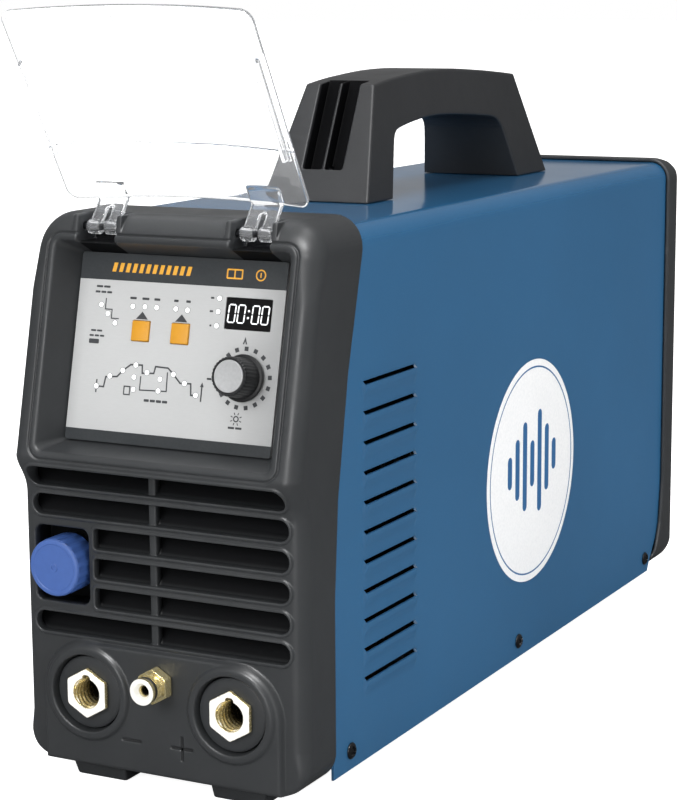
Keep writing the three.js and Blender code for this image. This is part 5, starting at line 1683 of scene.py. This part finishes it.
# ------------------------------------------------------------------ sockets, outlet and cap
def build_socket(side, pole):
    cx, cz = side * SOCKET_X, SOCKET_Z

    def solid(x, y, z):
        rho = np.hypot(x - cx, z - cz)
        nut = round_meet(hexagon(x - cx, z - cz, 12.3), slab(y, -4.9, -2.5), 0.25)
        nut = round_meet(nut, (rho - 11.9 - (y + 4.9)) * 0.72, 0.3)
        barrel = meet(rho - 10, slab(y, -3, 40))
        phase = (y + 2.2) / 2.6 + np.arctan2(z - cz, x - cx) * 5 / (2 * math.pi)
        rib = 0.42 * (np.abs(phase % 1 * 2 - 1) * 2 - 1)
        rib = np.where(y > -3.6, rib, 0.35)
        bore = meet(rho - 6.9 - rib, y - 28)
        mouth = (rho - 7.4 + 0.8 * (y + 4.9)) * 0.78
        keyway = meet(rect_distance(x, z, cx - 2.1, cx + 2.1, cz + 3, cz + 9, 1.6), y - 14)
        return round_meet(join(nut, barrel), -join(bore, mouth, keyway), 0.25)

    small_part(
        f"cable_socket_{pole}", solid, (cx - 13.5, -6.5, cz - 13.5),
        (cx + 13.5, 41.5, cz + 13.5), 0.42, keep=0.5, mats=["brass_socket"], slot="brass",
        replaced=f"socket_brass_{pole}",
    )


def build_collar(side, pole):
    profile = [
        (10.3, 1.9), (10.6, 2.2), (16.6, 2.2), (17.6, 1.7), (17.9, 1.0), (17.9, -1.2),
        (12.7, -1.4), (12.7, -26), (10.3, -26), (10.3, 1.9),
    ]
    shape = bmesh.new()
    add_lathe(shape, front_frame(side * SOCKET_X, 0, SOCKET_Z), profile, 72)
    bmesh.ops.remove_doubles(shape, verts=shape.verts, dist=1e-5)
    finish_shape(
        f"socket_collar_{pole}", shape, ["collar_grey"], slot="black_plastic",
        replaced=f"socket_insulator_{pole}",
    )


def gas_outlet(x, y, z):
    rho = np.hypot(x, z - OUTLET_Z)
    nut = round_meet(hexagon(x, z - OUTLET_Z, 8.8), slab(y, -9, -3.3), 0.25)
    nut = round_meet(nut, (rho - 8.1 - (y + 9)) * 0.72, 0.3)
    thread = 0.3 * np.abs(((y + 0.16 * np.arctan2(z - OUTLET_Z, x)) / 1.0) % 1 * 2 - 1)
    threaded = (y > -13.2) & (y < -9.2)
    neck = meet(rho - 5.8 + np.where(threaded, thread, 0), slab(y, -15.6, -8.8))
    disc = round_meet(rho - 6.4, slab(y, -17.7, -15.3), 0.35)
    stem = meet(rho - 5.0, slab(y, -4, 18))
    tail = meet(rho - 3.0, slab(y, 17.8, 29))
    barb = meet(rho - 2.6 - 0.5 * (1 - ((y - 20) / 3) % 1), slab(y, 19, 29))
    body = join(nut, neck, disc, stem, meet(join(tail, barb), rho - 3.0))
    bore = meet(rho - 1.7, y - 26)
    seat = (rho - 4.2 + 0.6 * (y + 17.7)) * 0.85
    return round_meet(body, -join(bore, seat), 0.15)


def build_outlet_seal():
    profile = [
        (5.2, 13.3), (6.0, 13.3), (6.3, 13.6), (6.3, 14.6), (6.0, 14.9), (5.2, 14.9),
        (5.2, 13.3),
    ]
    shape = bmesh.new()
    add_lathe(shape, front_frame(0, 0, OUTLET_Z), profile, 48)
    finish_shape("outlet_seal", shape, ["black_rubber"])


def build_cap():
    """A dust cap with a facetted edge."""
    profile = [
        (0, 4.2), (11.7, 4.2), (11.7, -8.2), (12.0, -8.5), (13.4, -8.5), (13.9, -8.2),
        (14.1, -7.6), (14.1, -2), (14.1, 2.0), (14.1, 5.6), (13.9, 6.4), (13.4, 7.15),
        (12.6, 7.5), (11.6, 7.5), (11.2, 7.2), (2.1, 7.2), (1.9, 7.5), (1.15, 7.5),
        (1.0, 7.2), (0, 7.2),
    ]

    def facet(angle, i):
        if profile[i][0] <= 14.05:
            return 1
        return 1 - 0.032 * (0.5 + 0.5 * math.tanh(4 * math.cos(18 * angle)))

    shape = bmesh.new()
    add_lathe(shape, front_frame(CAP_X, 0, CAP_Z), profile, 216, wave=facet)
    finish_shape(
        "control_cap", shape, sharp=32, body="socket_cap", slot="cap_blue",
        replaced="dust_cap",
    )


POLES = ((-1, "negative"), (1, "positive"))
for side, pole in POLES:
    build_socket(side, pole)
small_part(
    "gas_connector", gas_outlet, (-10, -19, 44.5), (10, 30.5, 64.5), 0.28,
    mats=["brass_outlet"], slot="brass", replaced="gas_outlet",
)
build_outlet_seal()
for side, pole in POLES:
    build_collar(side, pole)
build_cap()


# ------------------------------------------------------------------ pan-head screws
def screw_field():
    """A screw along local z, its cross-recessed head above z = 0."""
    form = Field((-4.8, -4.8, -17.5), (4.8, 4.8, 3.2), 0.18)
    x, y, z = form.x, form.y, form.z
    rho = np.hypot(x, y)
    dome = round_meet(z - 2.2, np.sqrt(rho**2 + (z + 3.6) ** 2) - 5.75, 0.2)
    head = meet(round_meet(rho - 4.1, dome, 0.35), 0.0 - z)
    turn = np.arctan2(y, x) / (2 * math.pi) * 1.2
    thread = 0.22 * np.abs(((z + turn) / 1.2) % 1 * 2 - 1)
    shank = meet(rho - 2.0 + thread, z - 0.5, -9.0 - z)
    arm = 0.62 + 0.16 * np.clip(z, -1, 2)
    cross = join(
        meet(np.abs(x) - arm, np.abs(y) - 2.1 - 0.35 * z),
        meet(np.abs(y) - arm, np.abs(x) - 2.1 - 0.35 * z),
    )
    cross = meet(cross, 0.5 - z)
    body = join(head, shank) + 0 * (x + y + z)
    form.dist = round_meet(body, -cross, 0.12).astype(np.float32)
    return form


def place_screw(form, name, replaced, origin, axes, turn):
    c, s = math.cos(math.radians(turn)), math.sin(math.radians(turn))
    axes = np.array(axes, float)
    turned = np.array([c * axes[0] + s * axes[1], -s * axes[0] + c * axes[1], axes[2]])
    form.build(
        name, 0.35, place=(np.array(origin), turned), slot="black_steel",
        replaced=replaced,
    )


def build_screws():
    form = screw_field()
    for sign, side in ((-1, "left"), (1, "right")):
        axes = [[0, sign, 0], [0, 0, 1], [sign, 0, 0]]
        for i, y in enumerate((48.1, 252.2, 458.0)):
            place_screw(
                form, f"case_screw_{side}_{i + 1}", f"side_screw_{side}_{i + 1}",
                (sign * 75.3, y, 17.4), axes, turn=20 + 37 * i,
            )
    corners = [(x, z) for z in REAR_SCREW_Z for x in REAR_SCREW_X]
    for i, (x, z) in enumerate(corners):
        place_screw(
            form, f"back_screw_{i + 1}", f"rear_screw_{i + 1}", (x, 500.3, z),
            [[-1, 0, 0], [0, 0, 1], [0, 1, 0]], turn=11 + 29 * i,
        )


build_screws()


# ------------------------------------------------------------------ fan
def build_fan_guard():
    """Four wire rings and four spokes."""
    shape = bmesh.new()
    wire = 0.85
    for radius in (16, 28, 40, 52):
        ring = [(x, 501.5, z) for x, z in circle(0, FAN_Z, radius, 96)]
        add_tube(shape, ring, wire, closed=True)
    for i in range(4):
        angle = math.pi / 4 + i * math.pi / 2
        c, s = math.cos(angle), math.sin(angle)
        add_tube(shape, [(r * c, 501.3, FAN_Z + r * s) for r in (15.5, 30, 50, 67.4)], wire)
    finish_shape("fan_grille", shape, sharp=60, slot="zinc_steel", replaced="fan_guard")


def add_blade(shape, turn, rows=9, columns=11):
    """A cambered, twisted blade wrapped round the hub axis."""
    c, s = math.cos(turn), math.sin(turn)
    skin = {}
    for side in (0, 1):
        for i in range(rows):
            radius = 17 + (53 - 17) * i / (rows - 1)
            twist = 0.72 - 0.24 * i / (rows - 1)
            chord = 13.0 + 0.5 * i / (rows - 1)
            for j in range(columns):
                share = -1 + 2 * j / (columns - 1)
                along = share * chord * (0.82 if i == 0 else 1)
                camber = 1.7 * (1 - share * share)
                thick = 0.8 * math.sqrt(max(0.04, 1 - share**4))
                off = camber - 0.8 + (thick if side else -thick)
                arc = (along * math.cos(twist) - off * math.sin(twist)) / radius
                depth = along * math.sin(twist) + off * math.cos(twist)
                x, z = radius * math.sin(arc), radius * math.cos(arc)
                y = 474.6 + np.clip(depth, -9.4, 9.4)
                skin[side, i, j] = shape.verts.new((x * c + z * s, y, FAN_Z - x * s + z * c))

    def face(*corners):
        shape.faces.new([skin[corner] for corner in corners])

    for i in range(rows - 1):
        for j in range(columns - 1):
            face((0, i, j), (0, i + 1, j), (0, i + 1, j + 1), (0, i, j + 1))
            face((1, i, j), (1, i, j + 1), (1, i + 1, j + 1), (1, i + 1, j))
    for i in range(rows - 1):
        for j in (0, columns - 1):
            face((0, i, j), (1, i, j), (1, i + 1, j), (0, i + 1, j))
    for j in range(columns - 1):
        for i in (0, rows - 1):
            face((0, i, j), (0, i, j + 1), (1, i, j + 1), (1, i, j))


def build_fan_wheel():
    hub = [
        (0, -484.2), (15.2, -484.2), (15.5, -484.4), (19.0, -484.4), (19.5, -483.6),
        (19.5, -466.8), (18.6, -465.4), (16.5, -464.8), (0, -464.8),
    ]
    shape = bmesh.new()
    add_lathe(shape, front_frame(0, 0, FAN_Z), hub, 72)
    for i in range(7):
        add_blade(shape, 2 * math.pi * i / 7)
    finish_shape("fan_wheel", shape, body="fan", slot="black_plastic", replaced="fan_rotor")


build_fan_guard()
build_fan_wheel()


# ------------------------------------------------------------------ rear fittings
def switch_frame(x, y, z):
    flange = round_meet(rect_distance(x, z, -17, 17, 54, 82, 2.0), slab(y, 500.3, 502.0), 0.7)
    box = round_meet(rect_distance(x, z, -14.6, 14.6, 56.4, 79.6, 0.6), slab(y, 476, 501), 0.3)
    pocket = meet(rect_distance(x, z, -12.3, 12.3, 58.2, 77.8, 0.6), 487 - y)
    return round_meet(join(flange, box), -pocket, 0.4)


def rocker(x, y, z):
    tilt = math.radians(-10)
    dy, dz = y - 495.5, z - 68
    out = dy * math.cos(tilt) + dz * math.sin(tilt)
    up = -dy * math.sin(tilt) + dz * math.cos(tilt)
    face = out - (4.9 + 1.9 * (np.clip(np.abs(up), 0, 8) / 7.6) ** 2)
    ends = np.abs(up) - 7.6
    root = meet(-4 - out, (np.abs(up) - 3 - (out + 4) * 0.9) * 0.74)
    body = round_meet(round_meet(face, meet(ends, root), 0.5), np.abs(x) - 12, 0.5)
    # shallow marks: a bar at the top, a ring at the bottom
    bar = meet(rect_distance(x, up, -0.5, 0.5, 2.6, 5.8, 0.3), -(face + 0.45))
    ring = meet(np.abs(np.hypot(x, up + 4.1) - 1.7) - 0.35, -(face + 0.45))
    return round_meet(body, -join(bar, ring), 0.1)


def gland(x, y, z):
    dx, dz = x - REAR_FITTING_X, z - REAR_FITTING_Z
    rho = np.hypot(dx, dz)
    nut = round_meet(hexagon(dx, dz, 12), slab(y, 500.3, 505), 0.4)
    nut = round_meet(nut, (rho - 11.4 - (505 - y)) * 0.7, 0.3)
    radius = np.interp(y, [504.5, 509, 512, 514, 515], [10.4, 10.4, 9.2, 7.8, 6.2])
    ribbed = (y > 505.5) & (y < 509.5)
    ribs = 0.35 * np.maximum(0, np.cos(np.arctan2(dz, dx) * 16)) * ribbed
    dome = round_meet((rho - radius.astype(np.float32) + ribs) * 0.85, slab(y, 504.8, 515), 0.5)
    stem = meet(rho - 8, slab(y, 478, 501))
    return round_meet(join(nut, dome, stem), -(rho - 5.0), 0.4)


def gas_intake(x, y, z):
    dx, dz = x + REAR_FITTING_X, z - REAR_FITTING_Z
    rho = np.hypot(dx, dz)
    nut = round_meet(hexagon(dx, dz, 9.6), slab(y, 500.3, 506), 0.3)
    nut = round_meet(nut, (rho - 9.0 - (506 - y)) * 0.72, 0.3)
    stem = meet(rho - 6.1, slab(y, 470, 501))
    radius = np.interp(y, [504, 512, 512.5, 518, 518.5, 525], [4, 4, 5, 4, 5, 3.6])
    barb = round_meet((rho - radius.astype(np.float32)) * 0.9, slab(y, 505, 525), 0.2)
    bore = meet(rho - 2.2, 480 - y)
    return round_meet(join(nut, stem, barb), -bore, 0.2)


def build_cord():
    """The mains cord, cut off above the floor with three bared cores."""
    path = smooth_line(
        [(462, 48), (490, 48), (515, 48), (531, 45), (540, 33), (542, 10)], 2.0
    )
    shape = bmesh.new()
    add_tube(shape, [(REAR_FITTING_X, y, z) for y, z in path], 4.2, count=24)
    for i in range(3):
        angle = math.radians(90 + 120 * i)
        x = REAR_FITTING_X + 1.8 * math.cos(angle)
        y = path[-1][0] + 1.8 * math.sin(angle)
        add_tube(shape, [(x, y, 11.5), (x, y, 8.0)], 1.35, count=14, mat=1)
        add_tube(shape, [(x, y, 9), (x, y, 6.4)], 0.75, count=10, mat=2)
    finish_shape(
        "power_cord", shape, ["black_rubber", "white_plastic", "copper"], sharp=50,
        slot="black_rubber", replaced="mains_cord",
    )


small_part(
    "switch_frame", switch_frame, (-19, 474.5, 52), (19, 503.5, 84), 0.5,
    slot="black_plastic", replaced="switch_housing",
)
small_part(
    "switch_paddle", rocker, (-13.5, 489, 58), (13.5, 505, 78), 0.33, body="mains_switch",
    slot="black_plastic", replaced="switch_rocker",
)
small_part(
    "cable_gland", gland, (32, 476.5, 34), (60, 516.5, 62), 0.45, slot="black_plastic",
    replaced="cord_gland",
)
build_cord()
small_part(
    "gas_intake", gas_intake, (-57, 468.5, 37), (-35, 526.5, 59), 0.36, slot="brass",
    replaced="gas_inlet",
)

# Bevel widths of the CAD pieces that stay
BEVELS = {
    "fan_frame": 0.5, "base_chassis": 0.3, "transformer_core": 0.8,
    "transformer_winding": 1.5, "heatsink_left": 0.25, "heatsink_right": 0.25,
    "capacitor_left": 0.8, "capacitor_right": 0.8, "gas_valve": 0.6, "output_choke": 2.0,
    "hf_coil": 1.5, "encoder_body": 0.2, "gas_outlet_nut": 0.3, "control_socket": 0.3,
}
for name, width in BEVELS.items():
    bevel = nodes[name].modifiers.new("bevel", "BEVEL")
    bevel.width = width * MM
    bevel.segments = 2
    bevel.limit_method = "ANGLE"
    bevel.angle_limit = math.radians(30)
    bevel.harden_normals = False
    bevel.use_clamp_overlap = True


# ------------------------------------------------------------------ stage, light, camera
def seen_directly(shader, light_path):
    """1 for rays from the camera, straight or through the clear cover."""
    rays = light_path.outputs
    return shader.math("MAXIMUM", rays["Is Camera Ray"], rays["Is Transmission Ray"])


def floor_material(name):
    """A pale floor that looks white to the camera and dim in reflections."""
    mat = new_material(name)
    mat.set({"Base Color": (0.86, 0.86, 0.86)})  # the plain value under the link below
    cloud = mat.noise(mat.coords(), scale=3.0, detail=3.0)
    pale = mat.mix(mat.swing(cloud), (0.84, 0.84, 0.84), (0.88, 0.88, 0.88))
    path = mat.node("LightPath")
    rays = path.outputs
    mirrored = mat.math("SUBTRACT", rays["Is Glossy Ray"], rays["Is Transmission Ray"])
    mirrored = mat.math("MAXIMUM", mirrored, 0.0)
    mat.set({
        "Base Color": mat.mix(mirrored, pale, (0.10, 0.10, 0.10)),
        "Roughness": 0.6,
        "Emission Color": (1, 1, 1),
        "Emission Strength": mat.times(seen_directly(mat, path), 0.92),
        "Specular IOR Level": 0.1,
    })


def build_floor():
    mesh = bpy.data.meshes.new("floor")
    corners = [(-30, -30, 0), (30, -30, 0), (30, 30, 0), (-30, 30, 0)]
    mesh.from_pydata(corners, [], [(0, 1, 2, 3)])
    floor_material("floor_pale")
    link_object("floor", mesh, ["floor_pale"])


def build_world():
    """A studio that is white to look at, bright above and dim round the sides."""
    world = bpy.data.worlds.new("studio")
    bpy.context.scene.world = world
    world.use_nodes = True
    sky = Shader(world.node_tree)
    direction = sky.node("TexCoord").outputs["Generated"]
    height = sky.xyz(direction)["Z"]
    path = sky.node("LightPath")
    diffuse = sky.ramp(height, -0.1, 0.9, low=0.45, high=0.8)
    glossy = sky.ramp(height, 0.05, 0.9, low=0.10, high=0.42)
    # a white wall behind and to the left shows in the polished top
    facing = sky.node("VectorMath", {0: direction}, operation="DOT_PRODUCT")
    facing.inputs[1].default_value = (-0.55, 0.83, 0.05)
    wall = sky.ramp(facing.outputs["Value"], 0.82, 0.97, high=0.36)
    wall = sky.times(wall, sky.ramp(height, -0.02, 0.03))
    glossy = sky.math("MAXIMUM", glossy, wall)
    level = sky.mix(path.outputs["Is Glossy Ray"], diffuse, glossy, "FLOAT")
    level = sky.mix(seen_directly(sky, path), level, 1.0, "FLOAT")
    background = world.node_tree.nodes["Background"]
    sky.feed(background.inputs["Color"], (1, 1, 1))
    sky.feed(background.inputs["Strength"], level)


# name, place, target, size (all in metres), watts and the kind of ray that misses it
AREA_LIGHTS = (
    ("key", (-0.6, -2.2, 1.2), (0, -0.1, 0.15), (1.2, 1.2), 25, "glossy"),
    ("brow", (0.45, -1.5, 2.0), (0.05, -0.26, 0.25), (0.55, 0.55), 50, "diffuse"),
    ("strip", (0.34, -2.3, 0.45), (0.05, -0.26, 0.15), (0.2, 0.9), 15, "diffuse"),
    ("fill", (2.2, -0.5, 0.9), (0, 0, 0.15), (1.4, 1.2), 17, "glossy"),
    ("top", (0.1, -0.1, 2.2), (0, 0, 0.2), (1.0, 1.0), 15, None),
)


def build_lights():
    for name, place, target, size, watts, unseen in AREA_LIGHTS:
        light = bpy.data.lights.new(name, "AREA")
        light.shape = "RECTANGLE"
        light.size, light.size_y = size
        light.energy = watts
        lamp = link_object(name, light)
        lamp.location = place
        lamp.rotation_mode = "QUATERNION"
        aim = Vector(target) - Vector(place)
        lamp.rotation_quaternion = aim.to_track_quat("-Z", "Y")
        if unseen:
            setattr(lamp, "visible_" + unseen, False)
        # The clear cover already lets shadow rays straight through, so a lamp met by a
        # bent ray would count twice.
        lamp.visible_transmission = False


def build_camera():
    data = bpy.data.cameras.new("camera")
    camera = link_object("camera", data)
    azimuth, elevation, roll = (math.radians(a) for a in (27.51, 10.27, -0.38))
    back = Vector((
        math.sin(azimuth) * math.cos(elevation),
        -math.cos(azimuth) * math.cos(elevation),
        math.sin(elevation),
    ))
    right = Vector((math.cos(azimuth), math.sin(azimuth), 0))
    up = right.cross(-back)
    # kept as first worked out: up is right x forward, which points up
    rolled_right = right * math.cos(roll) + up * math.sin(roll)
    rolled_up = -right * math.sin(roll) + up * math.cos(roll)
    place = to_metres((537.69, -850.02, 370.28))[0]
    camera.matrix_world = axes_matrix(place, rolled_right, rolled_up, back)
    data.sensor_width = 36
    data.lens = 99.8469
    data.clip_start = 0.05
    data.clip_end = 100
    scene = bpy.context.scene
    scene.camera = camera
    scene.view_settings.view_transform = "Standard"
    scene.view_settings.look = "None"


build_floor()
build_world()
build_lights()
build_camera()
